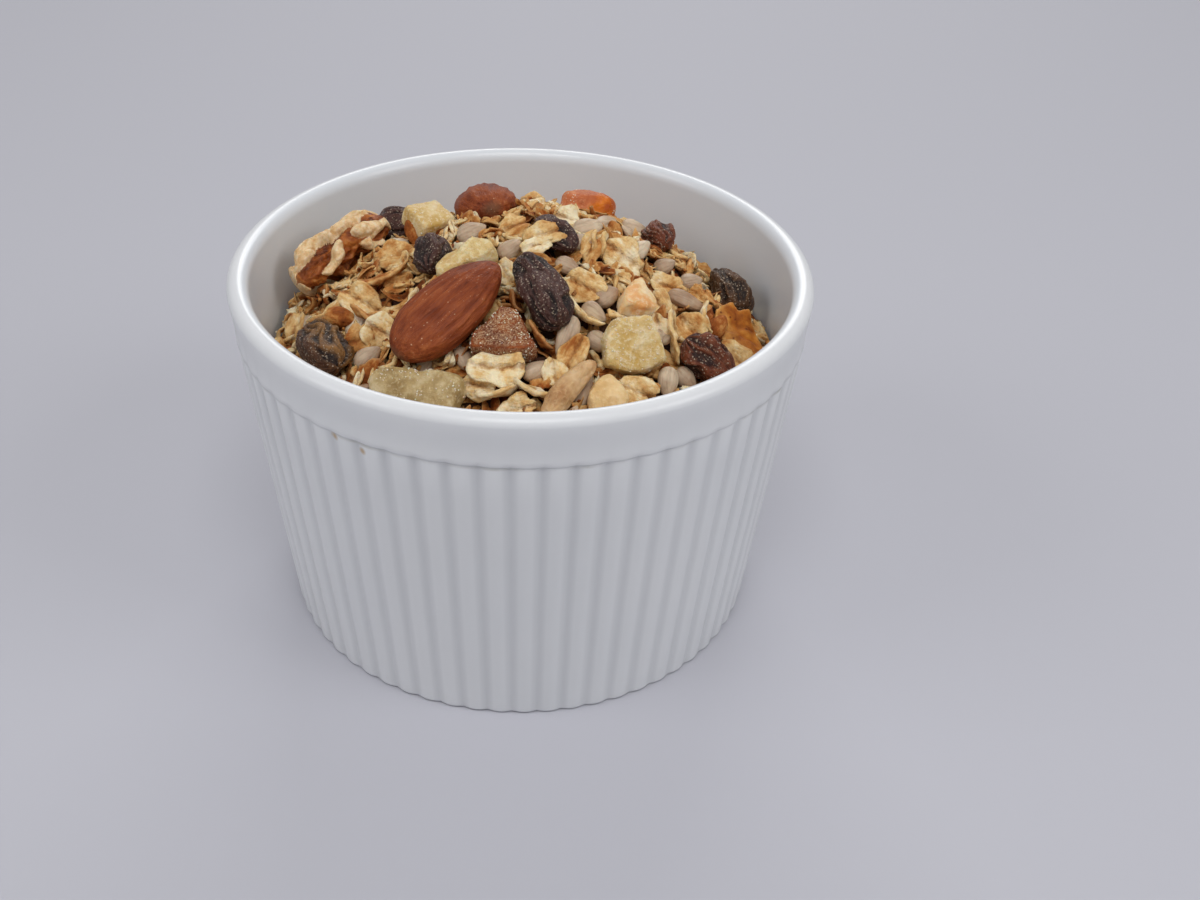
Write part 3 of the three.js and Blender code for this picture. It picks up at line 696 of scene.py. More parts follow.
def walnut(size, phase):
    def outline(u, angle):
        lobes = 0.95 + 0.05 * np.sin(3 * angle + 2 * u) + 0.04 * np.sin(5 * u - 2 * angle)
        return (1 - u ** 4) ** 0.42 * lobes
    rings, u, angle = rounded_body(size, 130, 150, outline)
    wander = 0.6 * np.stack([noise(rings * 0.5 + 9 * i, 41 + i) for i in range(3)], -1)
    off = np.min([distance_to_line(rings + wander, line) / half for half, line in WALNUT_RIDGES], axis=0)
    wild = 1.9 * (1 - ridged(rings * 0.26 + 2.0, 43, 1))
    off = np.where(rings[..., 1] > -1, np.minimum(off, wild + smooth_step(2.0, -1, rings[..., 1])), off)
    ridge = np.sqrt(np.clip(1 - off ** 2, 0, 1))
    lumps = np.clip(layered(rings * 0.42 + 5, 44, 2), -0.6, 0.9) * (1 - ridge)
    depth = 2.3 * (1 - ridge) - 1.1 * lumps + 0.35 * (1 - ridged(rings * 0.9, 47))
    rings = push_out(rings, -(1 - u ** 4) ** 0.4 * depth)
    return closed_body(size, rings, "flesh", smooth_step(1.2, 0.85, off))


def distance_to_line(points, line):
    """How far each point is from a chain of straight stretches."""
    nearest = np.full(points.shape[:-1], 1e3)
    for start, end in zip(line[:-1], line[1:]):
        start, along = np.array(start), np.array(end) - np.array(start)
        share = np.clip((points - start) @ along / (along @ along), 0, 1)
        off = points - start - share[..., None] * along
        nearest = np.minimum(nearest, np.linalg.norm(off, axis=-1))
    return nearest


def sliver(size, phase):
    def outline(u, angle):
        uneven = 1 + 0.14 * np.sin(2.5 * u + phase) + 0.06 * np.sin(2 * angle + 4 * u)
        return (1 - u ** 4) ** 0.45 * uneven
    rings, u, angle = rounded_body(size, 70, 60, outline, size[0] * 0.05)
    rough = layered(rings * np.array([0.45, 0.8, 0.8]) + phase, 51)
    rings = push_out(rings, 0.5 * np.minimum(rough, 0.15) * (1 - u * u) ** 0.5)
    return closed_body(size, rings, "rim", 0.0)


def soft_outline(corners, count=96, rounds=3, cut=0.2):
    """The corners' polygon with its corners cut round, as evenly spaced points."""
    loop = np.array(corners, dtype=float)
    for _ in range(rounds):
        after = np.roll(loop, -1, axis=0)
        pair = [(1 - cut) * loop + cut * after, cut * loop + (1 - cut) * after]
        loop = np.stack(pair, 1).reshape(-1, 2)
    closed = np.vstack([loop, loop[:1]])
    run = np.concatenate([[0], np.cumsum(np.linalg.norm(np.diff(closed, axis=0), axis=1))])
    at = np.linspace(0, run[-1], count, endpoint=False)
    return np.column_stack([np.interp(at, run, closed[:, i]) for i in range(2)])


# A cut piece's rings from below to above: height and outline, as shares of its own.
CHUNK_LEVELS = [(-1.0, 0.3), (-1.0, 0.62), (-0.98, 0.84), (-0.9, 0.94), (-0.72, 0.985), (-0.4, 1.0),
                (-0.1, 1.0), (0.2, 0.995), (0.48, 0.985), (0.7, 0.97), (0.85, 0.945), (0.94, 0.9),
                (0.99, 0.83), (1.0, 0.7), (1.0, 0.5), (1.0, 0.3), (1.0, 0.12)]


def chunk(size, phase, corners, soft=0.14, puff=0.0):
    """A cut piece of fruit: the corners' outline and soft edges; `puff` rounds its faces."""
    half = size[2] / 2
    loop = soft_outline(corners, cut=soft) * 1.01
    turn = np.arctan2(loop[:, 1], loop[:, 0])
    warp = 0.14 * half * np.sin(2 * turn + phase)
    rings = np.array([np.column_stack([loop * share, level * half * (1 - puff * share ** 2) + share * warp])
                      for level, share in CHUNK_LEVELS])
    dents = np.minimum(layered(rings * 0.38 + phase, 61), 0.2)
    grit = ridged(rings * 1.7 + phase, 67)
    rings = rings + (0.4 * dents + 0.12 * (grit - 0.9))[..., None] * unit_rows(rings)
    edge = np.array([min(abs(level), share) for level, share in CHUNK_LEVELS])
    points, rim = slab(-half, rings, half, smooth_step(0.75, 0.92, edge))
    return points, skin_faces(len(rings), len(loop)), {"rim": rim}


def unit_rows(points):
    return points / np.maximum(np.linalg.norm(points, axis=-1, keepdims=True), 1e-6)


def cornflake(size, phase, corners):
    """A thin, curled, blistered sheet with the corners' outline."""
    length, width, thickness = size
    loop = soft_outline(corners, 90, 2, 0.12)
    ragged = 1 + 0.025 * noise(np.column_stack([loop, loop[:, 0]]) * 1.4, 71)
    shares = [0.12, 0.3, 0.5, 0.68, 0.84, 0.95, 1.0]

    def face(share, side):
        place = loop * share * ragged[:, None]
        u, v = 2 * place[:, 0] / length, 2 * place[:, 1] / width
        flat = np.column_stack([place, np.zeros(len(place))])
        wave = 1.1 * (u * u - 0.4 + 0.35 * np.sin(3 * v + phase) * u)
        blister = 0.3 * layered(flat * 0.5, 73)
        return np.column_stack([place, wave + blister + side * thickness / 2 * (1 - 0.4 * share ** 4)])
    levels = [(share, -1) for share in shares] + [(1.01, 0)] + [(share, 1) for share in shares[::-1]]
    rings = [face(share, side) for share, side in levels]
    middle = float(np.mean(face(0.01, 0)[:, 2]))
    points, rim = slab(middle - thickness / 2, rings, middle + thickness / 2,
                       [min(share, 1.0) for share, _ in levels])
    return points, skin_faces(len(rings), len(loop)), {"rim": rim}


# ---- Toppings, as in the frame --------------------------------------------------------------
def topping_looks():
    return {
        "almond": almond_look(),
        "walnut": walnut_look(),
        # Each raisin's first colour is the painted shade in its creases.
        "dark": raisin_look("dark_raisin", (24, 12, 11), (82, 50, 42), (134, 108, 100)),
        "two_tone": raisin_look("two_tone_raisin", (34, 16, 9), (94, 60, 38), (144, 112, 80),
                                (142, 100, 50)),
        "brown": raisin_look("brown_raisin", (34, 18, 10), (98, 66, 40), (140, 110, 82)),
        "red": raisin_look("red_raisin", (46, 16, 7), (120, 60, 32), (160, 116, 88)),
        "pineapple": candied_look("candied_pineapple", (208, 172, 100), (222, 194, 136), (240, 226, 194),
                                  0.75, rough_depth=0.35),
        "green": candied_look("candied_slice", (158, 131, 83), (184, 159, 111), (222, 205, 168), 0.5),
        "papaya": candied_look("candied_papaya", (182, 96, 50), (204, 122, 72), (228, 174, 134), 0.5,
                               (20.5, (172, 72, 6), (226, 134, 30))),
        "pale_papaya": candied_look("pale_papaya", (234, 176, 114), (240, 206, 154), (248, 232, 204), 0.5,
                                    rough_depth=0.35, glow=(226, 122, 44)),
        "sugared": candied_look("sugared_fruit", (104, 42, 10), (140, 68, 20), (176, 104, 44), 0.2,
                                None, 0.85, glow=(190, 100, 26)),
        "pale": candied_look("pale_fruit", (208, 170, 106), (228, 202, 142), (244, 232, 196), 0.7,
                             rough_depth=0.5),
        "waxy": candied_look("waxy_fruit", (214, 176, 120), (232, 200, 148), (244, 222, 180), 0.4),
        "nut": candied_look("nut_sliver", (184, 138, 92), (212, 174, 128), (232, 204, 162), 0.4,
                            rough_depth=0.4),
        "cornflake": cornflake_look(),
    }


# Node, shape, look, slot, size, place, turn, lift, phase, and what else its pose or shape needs.
TOPPINGS = [
    ("almond_front", almond, "almond", "almond", (21.8, 11.5, 8), (-10.8, -16.6), 45, 3.4, 0.0, {}),
    ("almond_back", almond, "almond", "almond", (17.5, 11, 8), (-6.7, 18.9), 100, 1.4, 0.0, dict(lean=4)),
    ("walnut_piece", walnut, "walnut", "walnut", (19.5, 12.5, 10.5), (-29.2, 10.8), 32, 4, 0.0, {}),
    ("raisin_centre", raisin, "dark", "raisin_dark", (14.6, 7.6, 7.4), (2.6, -14.5), -66, 3.2, 0.4, {}),
    ("raisin_left_front", raisin, "two_tone", "raisin_brown", (13, 8, 7), (-30, -14.8), -57, 2.8, 1.6, {}),
    ("raisin_left", raisin, "dark", "raisin_dark", (8.8, 6.2, 5.8), (-14.2, -2.3), 89, 2, 2.5, {}),
    ("raisin_left_back", raisin, "dark", "raisin_dark", (8.8, 7.2, 6.5), (-21.6, 21.2), 30, 2.8, 3.3, {}),
    ("raisin_middle", raisin, "dark", "raisin_dark", (9.4, 6, 5), (5, 0.5), -50, 1, 4.2, {}),
    ("raisin_right_front", raisin, "red", "raisin_brown", (9.8, 8, 7), (27.6, -18.2), -30, 2.6, 5.1, {}),
    ("raisin_right", raisin, "brown", "raisin_brown", (10.8, 8, 7), (35, 8), -62, 1.6, 0.9, {}),
    ("raisin_right_back", raisin, "red", "raisin_brown", (8.1, 5.8, 5.6), (22.4, 12.5), -80, 2, 3.8, {}),
    ("pineapple_right", chunk, "pineapple", "candied_pineapple",
     (10.4, 9.6, 4.6), (16.3, -20.2), -5, 2.2, 0.3, dict(roll=28, soft=0.1, sugar=260, corners=[
         (-4.4, -4.8), (0.5, -4.8), (3.3, -3.6), (5.2, -1.5), (2.8, 2.8), (1, 4.8), (-3.8, 3),
         (-5.2, -0.5)])),
    ("pineapple_back", chunk, "pineapple", "candied_pineapple",
     (6.9, 6.6, 4), (-15.6, 12.7), 40, 2, 1.9, dict(lean=-12, roll=38, soft=0.08, sugar=110, corners=[
         (-3.4, -3.2), (0.4, -3.3), (3.4, -3.2), (3.4, 3.1), (0, 3.3), (-3.4, 3.2)])),
    ("candied_slice", chunk, "green", "candied_pineapple",
     (15.5, 7.8, 4), (-15.7, -27.3), -6, 1.4, 2.7, dict(roll=10, soft=0.18, puff=0.15, sugar=240, corners=[
         (-7, -0.8), (-2, -2.7), (3.7, -3.6), (6.6, -3.3), (7.7, -0.4), (7.5, 2), (3.9, 3), (-1.9, 3.7),
         (-6.6, 3.4), (-7.5, 1.9)])),
    ("sugared_fruit", chunk, "sugared", "sugared_fruit",
     (10.4, 8.4, 5), (-3, -20.8), 0, 1.4, 4.4, dict(soft=0.12, puff=0.1, sugar=380, corners=[
         (-5, -3.2), (-0.3, -4.2), (3.7, -4.2), (5.2, -3), (3.5, 0.8), (1.9, 3.9), (-0.2, 3.9),
         (-2.4, 1.8), (-4.7, -0.6)])),
    ("papaya_back", chunk, "papaya", "candied_papaya",
     (10.2, 8, 6.6), (11, 22), -5, 1.6, 3.1, dict(soft=0.25, puff=0.4, sugar=180, corners=[
         (-4.8, -3), (-1, -4), (3.6, -3.8), (5, -1), (4.6, 3), (0, 4), (-4, 3.4), (-5.1, 0)])),
    ("papaya_right", chunk, "pale_papaya", "candied_papaya",
     (6.4, 7.2, 4.6), (17.5, -11.6), 8, 1.8, 5.5, dict(puff=0.2, corners=[
         (-4, -2.6), (-1, -3.6), (1.9, -2.8), (2.4, -0.7), (1.1, 1.3), (0.3, 3.5), (-1.2, 3), (-3, 0.6)])),
    ("banana_chunk", chunk, "pale", "pale_fruit",
     (10.6, 5.2, 4.2), (-9, -6.4), 33, 2, 0.6, dict(soft=0.16, puff=0.15, corners=[
         (-4.9, -1.9), (-1.6, -2.1), (2, -2.8), (4.9, -2.5), (5.3, -0.2), (3.8, 2.2), (1.2, 1.7),
         (-2.6, 2.3), (-5.1, 0.8)])),
    ("nut_sliver", sliver, "nut", "nut", (12.5, 3.5, 3.6), (6.8, -29), 54, 1.8, 2.9, {}),
    ("apple_chunk", chunk, "waxy", "pale_fruit",
     (6.4, 7.4, 4), (12.6, -28.8), 0, 1.5, 1.1, dict(soft=0.22, puff=0.3, corners=[
         (-3.2, -3.2), (-1.2, -3.5), (2.1, -2.7), (2.9, -0.9), (1.5, 1.8), (0, 3.6), (-1.4, 3),
         (-3.1, 0.9), (-3.6, -1.3)])),
    ("cornflake", cornflake, "cornflake", "cornflake",
     (11.6, 7.6, 0.9), (34.4, -7), -62, 1.6, 1.3, dict(roll=22, corners=[
         (-2.8, -3.4), (-0.3, -3.3), (3, -2.1), (5.3, -0.3), (3.6, 3.2), (-0.3, 3.7), (-4.2, 4.3),
         (-4.1, 2.1), (-6.2, 1.8), (-5.2, -1.9)])),
]


# A sugar crystal is a small cube.
GRAIN_CORNERS = np.array(list(np.ndindex(2, 2, 2))) - 0.5
GRAIN_FACES = np.array([(0, 1, 3), (0, 3, 2), (4, 6, 7), (4, 7, 5), (0, 4, 5), (0, 5, 1),
                        (2, 3, 7), (2, 7, 6), (0, 2, 6), (0, 6, 4), (1, 5, 7), (1, 7, 3)])


def sprinkle_sugar(pile, points, faces, count, random):
    """Tiny crystals stuck in patches all over a topping's surface."""
    corners = points[faces]
    sides = corners[:, 1:] - corners[:, :1]
    area = np.linalg.norm(np.cross(sides[:, 0], sides[:, 1]), axis=1)
    area = area * (0.1 + smooth_step(-0.2, 0.5, noise(corners.mean(axis=1) * 0.6, 91)))
    for face in random.choice(len(faces), count, p=area / area.sum()):
        share = random.dirichlet((1, 1, 1))
        axes = axes_on(unit(random.standard_normal(3)), random.uniform(0, 360))
        size = random.uniform(0.08, 0.19) * random.uniform(0.7, 1.3, 3)
        crystal = (GRAIN_CORNERS * size) @ axes.T + share @ corners[face]
        pile.add(crystal, local=GRAIN_CORNERS + random.uniform(0, 99, 3))


def make_toppings(field):
    looks = topping_looks()
    random = np.random.default_rng(5)
    sugar = Pile("sugar_crystals", GRAIN_FACES)
    for node, shape, look, slot, size, at, turn, lift, phase, more in TOPPINGS:
        shaped = {key: more[key] for key in ("corners", "soft", "puff") if key in more}
        points, faces, values = shape(size, phase, **shaped)
        placed = place_on_heap(points, at, turn, more.get("lean", 0), more.get("roll", 0), lift)
        field.block(placed)
        sprinkle_sugar(sugar, placed, faces, more.get("sugar", 0), random)
        make_object(node + "_real", placed, faces, looks[look], slot, [node], local=points + 20, **values)
    sugar.make(sugar_look(), "sugared_fruit")


# ---- Loose pieces ---------------------------------------------------------------------------
FLAKE_SIDES = 30
# A flake's rings from below to above: outline, and height as a share of half its thickness.
FLAKE_LEVELS = [(0.55, -1), (0.9, -0.8), (1.0, 0), (0.92, 0.8), (0.66, 1), (0.33, 1)]
FLAKE_FACES = skin_faces(len(FLAKE_LEVELS), FLAKE_SIDES)
SLIVER_SIDES = 12
SLIVER_FACES = skin_faces(len(FLAKE_LEVELS), SLIVER_SIDES)
KERNEL_STATIONS, KERNEL_SIDES = 10, 14
KERNEL_FACES = skin_faces(KERNEL_STATIONS - 1, KERNEL_SIDES)
CRUMB_SIDES = 5
CRUMB_FACES = skin_faces(2, CRUMB_SIDES)


def flake_shape(random, length, width, thickness=0.75, curl=0.5, cup=0.0, breaks=0, crease=0.2,
                sides=FLAKE_SIDES):
    """A rolled oat: a ragged oval with splits and a crease, curled, thin towards its edge."""
    angle = np.arange(sides) / sides * TAU
    outline = 1 + 0.022 * random.standard_normal(sides)
    for order, size in ((2, 0.06), (3, 0.07), (4, 0.04), (6, 0.03)):
        outline += size * np.sin(order * angle + random.uniform(0, TAU))
    for _ in range(random.integers(0, 4)):
        off = np.angle(np.exp(1j * (angle - random.uniform(0, TAU))))
        outline -= random.uniform(0.08, 0.34) * np.exp(-(off / random.uniform(0.13, 0.3)) ** 2)
    outline = np.maximum(outline, 0.4)
    loop = np.column_stack([length / 2 * np.cos(angle), width / 2 * np.sin(angle)]) * outline[:, None]
    for _ in range(breaks):
        a = random.uniform(0, TAU)
        line = np.array([math.cos(a), math.sin(a)])
        reach = np.max(loop @ line) * random.uniform(0.15, 0.7)
        past = np.maximum(loop @ line - reach - random.normal(0, 0.16, sides), 0)
        loop = loop - past[:, None] * line
    phase, twist = random.uniform(0, 99), random.normal(0, 0.7)

    def bend(place):
        u, v = 2 * place[..., 0] / length, 2 * place[..., 1] / width
        wave = 0.2 * np.sin(3.1 * u + 2 * v + phase) + 0.12 * np.sin(5 * v - 3 * u + 2 * phase)
        flat = np.stack([place[..., 0], place[..., 1], 0 * place[..., 0]], -1)
        rough = 0.28 * noise(flat * 0.8 + phase, 83) + 0.14 * noise(flat * 2.1 + phase, 84)
        fold = crease * np.exp(-(v / 0.22) ** 2)
        return curl * (u * u - 0.4) + cup * (v * v - 0.4) + 0.5 * twist * u * v + wave + rough - fold
    half = thickness / 2
    rings = [np.column_stack([loop * share, bend(loop * share) + side * half * (1 - 0.3 * share ** 3)])
             for share, side in FLAKE_LEVELS]
    middle = bend(np.zeros(2))
    points, rim = slab(middle - half, rings, middle + half, [share for share, _ in FLAKE_LEVELS])
    return points, {"rim": rim, "across": 2 * points[:, 1] / width}


def kernel_shape(random, length, width, height):
    """A sunflower kernel: a flattened drop, pointed at +X."""
    ridge = random.uniform(0.02, 0.08)
    phase = random.uniform(0, TAU)

    def outline(u, angle):
        drop = (1 - u * u) ** 0.5 * (1 - 0.34 * u) * (1 - 0.08 * u * u)
        return drop * (1 + ridge * np.cos(3 * angle + phase) + 0.04 * np.sin(3 * u + phase))
    rings, _, _ = rounded_body((length, width, height), KERNEL_STATIONS, KERNEL_SIDES, outline,
                               random.normal(0, 0.02) * length)
    points = skin_points((-length / 2, 0, 0), rings, (length / 2, 0, 0))
    return points, {}


def crumb_shape(random, size):
    turn = np.arange(CRUMB_SIDES) / CRUMB_SIDES * TAU
    rings = []
    for z, share in ((-0.3, 0.9), (0.3, 0.8)):
        radius = size / 2 * share * random.uniform(0.6, 1.25, CRUMB_SIDES)
        rings.append(np.column_stack([radius * np.cos(turn), radius * np.sin(turn) * 0.75,
                                      size * (z + random.normal(0, 0.1, CRUMB_SIDES)) * 0.6]))
    points = skin_points((0, 0, -size * 0.28), rings, (0, 0, size * 0.28))
    return points, {"rim": 0.3, "across": 1.0}


# Loose pieces that the photograph shows plainly, by kind. Each has its place on the heap (x, y),
# turn, lean, roll, length, width, tone, curl and lift.
SHOWN = [
    ("kernel", [
        (10.2, 5.3, 16, 26, 45, 5.5, 4.6, 0.35, 0, 1.6),
        (18.8, 3.1, 47, 39, 18, 3.9, 3.4, 0.15, 0, 1.2),
        (6.8, -6.5, -23, -7, 24, 4.3, 3.6, 0.7, 0, 1.4),
        (10.6, -15.1, -29, -5, 25, 4.3, 3.4, 0.6, 0, 1.5),
        (12.9, -11.1, 41, 21, 12, 4.3, 4, 0.75, 0, 0.9),
        (25.7, -5.9, -12, 9, 29, 7.2, 3.4, 0.9, 0, 1.6),
        (6.3, -20.6, -111, -21, -3, 7.3, 3.8, 0.5, 0, 1.2),
        (11.5, -20.3, -33, -4, 18, 3.6, 3.6, 0.55, 0, 0.6),
        (1.7, -25.9, 34, 11, 14, 4, 3.2, 0.6, 0, 0.8),
        (21.8, -23.8, -84, -24, 23, 5.3, 3.8, 0.4, 0, 1),
        (25.1, -21.6, -47, -3, 27, 4.5, 3.6, 0.75, 0, 0.6),
        (25.5, -17.8, -38, 0, 30, 2.9, 3.2, 0.8, 0, 0.8),
        (18.7, 13.9, 1, 7, 41, 5.3, 3.6, 0.45, 0, 1.4),
        (-2.1, -2.6, 32, 17, 29, 4.1, 3.8, 0.55, 0, 1.4),
        (9.5, -0.4, 14, 13, 27, 2.7, 3.4, 0.6, 0, 0.8),
        (-8.2, 4, 17, 6, 33, 5.5, 4.4, 0.5, 0, 1.6),
        (-23.8, -18.5, 33, -1, 29, 5.2, 3.8, 0.7, 0, 0.6),
        (-21.3, 10.3, 4, -7, 39, 2.5, 3.8, 0.3, 0, 0.8),
        (27.9, 4, 28, 29, 24, 3.3, 3.4, 0.55, 0, 0.9),
        (23.2, 3.5, 39, 31, 19, 2.5, 3.2, 0.7, 0, 0.9),
        (22.2, -14.8, 46, 24, 5, 2.2, 3.4, 0.4, 0, 0.6),
        (19.9, -17.4, -106, -22, 6, 2.7, 3.2, 0.4, 0, 0.3),
    ]),
    ("flake", [
        (-25.5, -5.8, -34, -43, 21, 7.6, 5.4, 0.22, 0.4, 1.4),
        (-22.1, -13.6, -33, -39, 17, 5.3, 6.2, 0.02, 0.2, 1.3),
        (-25.2, -14.5, 28, -4, 37, 4.9, 5.2, 0.5, 0.5, 1),
        (-37.7, -0.3, -129, -22, -40, 6.7, 3.4, 0.3, 0.3, 1),
        (-21.2, 4.4, 4, -11, 43, 7.5, 5.2, 0.45, 0.3, 1),
        (-20, -3.5, 5, -9, 29, 5.1, 4.4, 0.5, 0.4, 1.2),
        (-3.8, -25.9, -3, -3, 13, 8.3, 6.8, 0.05, 0.7, 2.2),
        (-6.5, -28, -6, -9, 20, 5.1, 5, 0.1, 0.3, 1),
        (-0.8, -31, 11, 3, 19, 6.2, 4.6, 0.1, 0.4, 1.2),
        (4.5, -26.3, -80, -19, 7, 4.6, 3.8, 0.15, 0.3, 1.2),
        (7.2, -23.6, -115, -22, -4, 7, 4.4, 0.4, 0.5, 1.3),
        (16.7, -27, -21, 7, 27, 6.6, 4.8, 0.12, 0.4, 1.5),
        (33.1, -11.9, -27, 12, 48, 7, 5.6, 0.35, 0.3, 1.2),
        (26.3, -11, -33, -1, 34, 5.6, 6, 0.3, 0.5, 1.2),
        (9.3, -10.6, -23, -4, 23, 6.5, 6, 0.25, 0.8, 1.6),
        (15.8, -2.1, -25, -9, 49, 7.5, 6.8, 0.15, 0.3, 1.5),
        (3.2, -1.1, 21, 8, 18, 8.4, 4.4, 0.2, -1.3, 3.6),
        (2, -3.7, 21, 6, 14, 5.7, 3.2, 0.05, 0.4, 2.7),
        (7, 8.8, -10, -5, 37, 4.4, 5, 0, 0.4, 1.6),
        (21.1, -8.5, -44, -14, 37, 5.1, 4.4, 0.15, 0.3, 1.1),
        (23, -3, -10, 8, 31, 6.7, 4.2, 0.2, 0.5, 1.3),
        (14.8, 9.5, -38, -28, 40, 3.7, 3.6, 0.6, 0.3, 1),
        (-2.8, -8.2, -56, -26, 13, 4.9, 4.2, 0.15, 0.3, 1),
        (28.5, -0.2, -17, 5, 34, 3.6, 4.4, 0.5, 0.3, 1),
        (-12, -10.2, 19, 0, 25, 5.5, 5.6, 0.4, 0.3, 0.9),
        (-1.4, 4.2, 21, 8, 24, 5.4, 5, 0.3, 0.6, 1.5),
        (10.7, -1.5, 70, 29, 4, 6.2, 4, 0.35, 0.3, 1.3),
    ]),
    ("block", [
        (1.4, 20.4, 9, 3, 23, 4.5, 5, 0.15, 0, 1.6),
    ]),
    ("flake", [
        (31.5, 18.1, 18, 16, 30, 5.5, 5.4, 0.55, 0.5, 1.4),
        (18.7, -25.3, 49, 22, 2, 3.3, 4, 0.5, 0.3, 0.6),
        (20.8, -14.5, -66, -18, 24, 4.6, 4, 0.1, 0.3, 1),
        (2.7, -27.4, 58, 12, 6, 3.7, 3.4, 0.6, 0.3, 0.5),
    ]),
    ("edge", [
        (-31.3, -2.7, 22, -3, -22, 9.9, 4, 0.2, 0.5, 1.6),
        (-22.2, -2.6, 7, -9, -29, 9.8, 3, 0.5, 1.2, 1.8),
        (-17.3, -10.3, 61, 17, -49, 5.3, 2.6, 0.1, 0.2, 1.6),
        (9.3, -16.4, -37, -8, -53, 8.1, 4, 0.1, 1.4, 1.6),
        (28.8, -8.5, -72, -21, -44, 6.6, 3.4, 0.1, 0.8, 1.6),
        (23, -16, -75, -17, -54, 9.1, 4.2, 0.12, 0.6, 1.5),
        (1.6, -29, -24, -5, -66, 7.1, 3.6, 0.08, 0.5, 1.4),
        (-3.8, -29.1, 11, 0, -63, 6.9, 4, 0.1, 1.2, 1.5),
        (13.9, -15.5, -30, -3, -47, 3.2, 2.4, 0, 0.2, 1.3),
        (26, 9.8, -12, 1, -10, 4.1, 2.8, 0.3, 0.4, 1.4),
        (2.4, -20.6, -53, -13, -68, 5.6, 3, 0.7, 0.5, 1),
        (-1.1, -14.8, -59, -18, -72, 4.7, 2.8, 0.8, 0.5, 0.8),
        (11, -0.2, 81, 30, 87, 4.1, 3, 0.25, 0.3, 1.5),
        (12.5, -0.3, 88, 30, 78, 5.3, 3, 0.15, 0.3, 1.5),
        (-24.1, -10.6, 138, 27, 73, 7.9, 2.4, 0.5, 0.3, 0.8),
    ]),
    ("grain", [
        (-18.2, 10.9, -100, -47, -15, 5.3, 3.2, 0.8, 0, 1.6),
        (-28.5, -8.3, -14, -34, 29, 5.6, 3.4, 0.7, 0, 1.4),
        (31, -7.6, 64, 45, -4, 1.8, 3.4, 0.75, 0, 1),
    ]),
]
SHOWN_FORMS = {"edge": (0.85, 0.1), "flake": (0.65, 0.35), "block": (2.8, 0.35)}  # thickness, cup

CELL = 0.5  # width of a cell of the height grid
SPAN = 46.0  # the grid reaches this far from the bowl's axis
CELLS = int(2 * SPAN / CELL)
PATCH = 5  # half width, in cells, of the patch that a piece's slope is read from
STEEPEST = 1.3  # greatest slope that a loose piece takes up
WALL_GAP = 0.15  # between loose pieces and the bowl's wall
SINK = 0.3  # how far a flat flake sinks among those under it
STEEP = 55  # degrees from which a flake counts as standing on edge
FLAKE_REACH, KERNEL_REACH, CRUMB_REACH = 41.5, 41, 42  # how far from the axis they fall
LOCAL_SPAN = 400  # pieces take their grain from places this far apart


class Field:
    """The height of what lies in the bowl, cell by cell, and the toppings that stand in it."""

    def __init__(self):
        middle = (np.arange(CELLS) + 0.5) * CELL - SPAN
        grid_x, grid_y = np.meshgrid(middle, middle, indexing="ij")
        self.mean = heap_z(grid_x, grid_y)
        self.height = self.mean - CORE_DROP + 0.3
        self.block_low = np.full((CELLS, CELLS), 1e3)
        self.block_top = np.full((CELLS, CELLS), -1e3)
        reach = np.arange(-PATCH, PATCH + 1) * CELL
        patch_x, patch_y = np.meshgrid(reach, reach, indexing="ij")
        plane = np.column_stack([patch_x.ravel(), patch_y.ravel(), np.ones(patch_x.size)])
        self.patch_fit = np.linalg.pinv(plane)

    def cells(self, points):
        found = ((points[..., :2] + SPAN) / CELL).astype(int)
        return tuple(np.clip(found, 0, CELLS - 1).T)

    def block(self, points):
        """Marks a topping's space, which loose pieces stay out of."""
        cells = self.cells(points)
        np.minimum.at(self.block_low, cells, points[:, 2])
        np.maximum.at(self.block_top, cells, points[:, 2])

    def lowest(self, random, tries, radius):
        """Of a few random places, the one where the heap most lacks height."""
        reach = radius * np.sqrt(random.random(tries))
        turn = random.random(tries) * TAU
        place = np.column_stack([reach * np.cos(turn), reach * np.sin(turn)])
        cells = self.cells(place)
        lack = self.mean[cells] - self.height[cells]
        under_topping = self.block_low[cells] < self.height[cells] + 0.8
        lack = np.where(under_topping, -9, lack)
        best = int(np.argmax(lack))
        return place[best], lack[best]

    def axes(self, place, turn, lean=0.0, roll=0.0):
        """Axes of a piece that lies along what is under it."""
        return axes_on(unit(np.array([*-self.slope(place), 1.0])), turn, lean, roll)

    def slope(self, place):
        i, j = (int(np.clip(c, PATCH, CELLS - 1 - PATCH)) for c in self.cells(place[None]))
        patch = self.height[i - PATCH:i + PATCH + 1, j - PATCH:j + PATCH + 1]
        fit = self.patch_fit @ patch.ravel()
        return np.clip(fit[:2], -STEEPEST, STEEPEST)

    def rest(self, points, place, sink, share):
        """The points moved to `place` and down onto what lies there; None where they don't fit.

        A share `share` of them ends above it, and then the piece sinks in by `sink`.
        """
        place = np.array(place, dtype=float)
        for _ in range(4):
            moved = points + np.array([*place, 0.0])
            cells = self.cells(moved)
            support = self.height[cells] - moved[:, 2]
            moved = moved + np.array([0, 0, np.quantile(support, share) - sink])
            over = np.hypot(moved[:, 0], moved[:, 1]) - inner_radius(moved[:, 2]) + WALL_GAP
            worst = int(np.argmax(over))
            if moved[:, 2].max() > TOP_Z:
                return None, None
            if over[worst] <= 0:
                return moved, cells
            out = moved[worst, :2]
            place -= out / np.linalg.norm(out) * (over[worst] + 0.05)
        return None, None

    def clear(self, points, cells, allowed):
        """Whether at most a share `allowed` of the points reaches into toppings."""
        inside = points[:, 2] > self.block_low[cells] + 0.35
        return np.mean(inside) <= allowed

    def lay(self, points, cells):
        np.maximum.at(self.height, cells, points[:, 2])


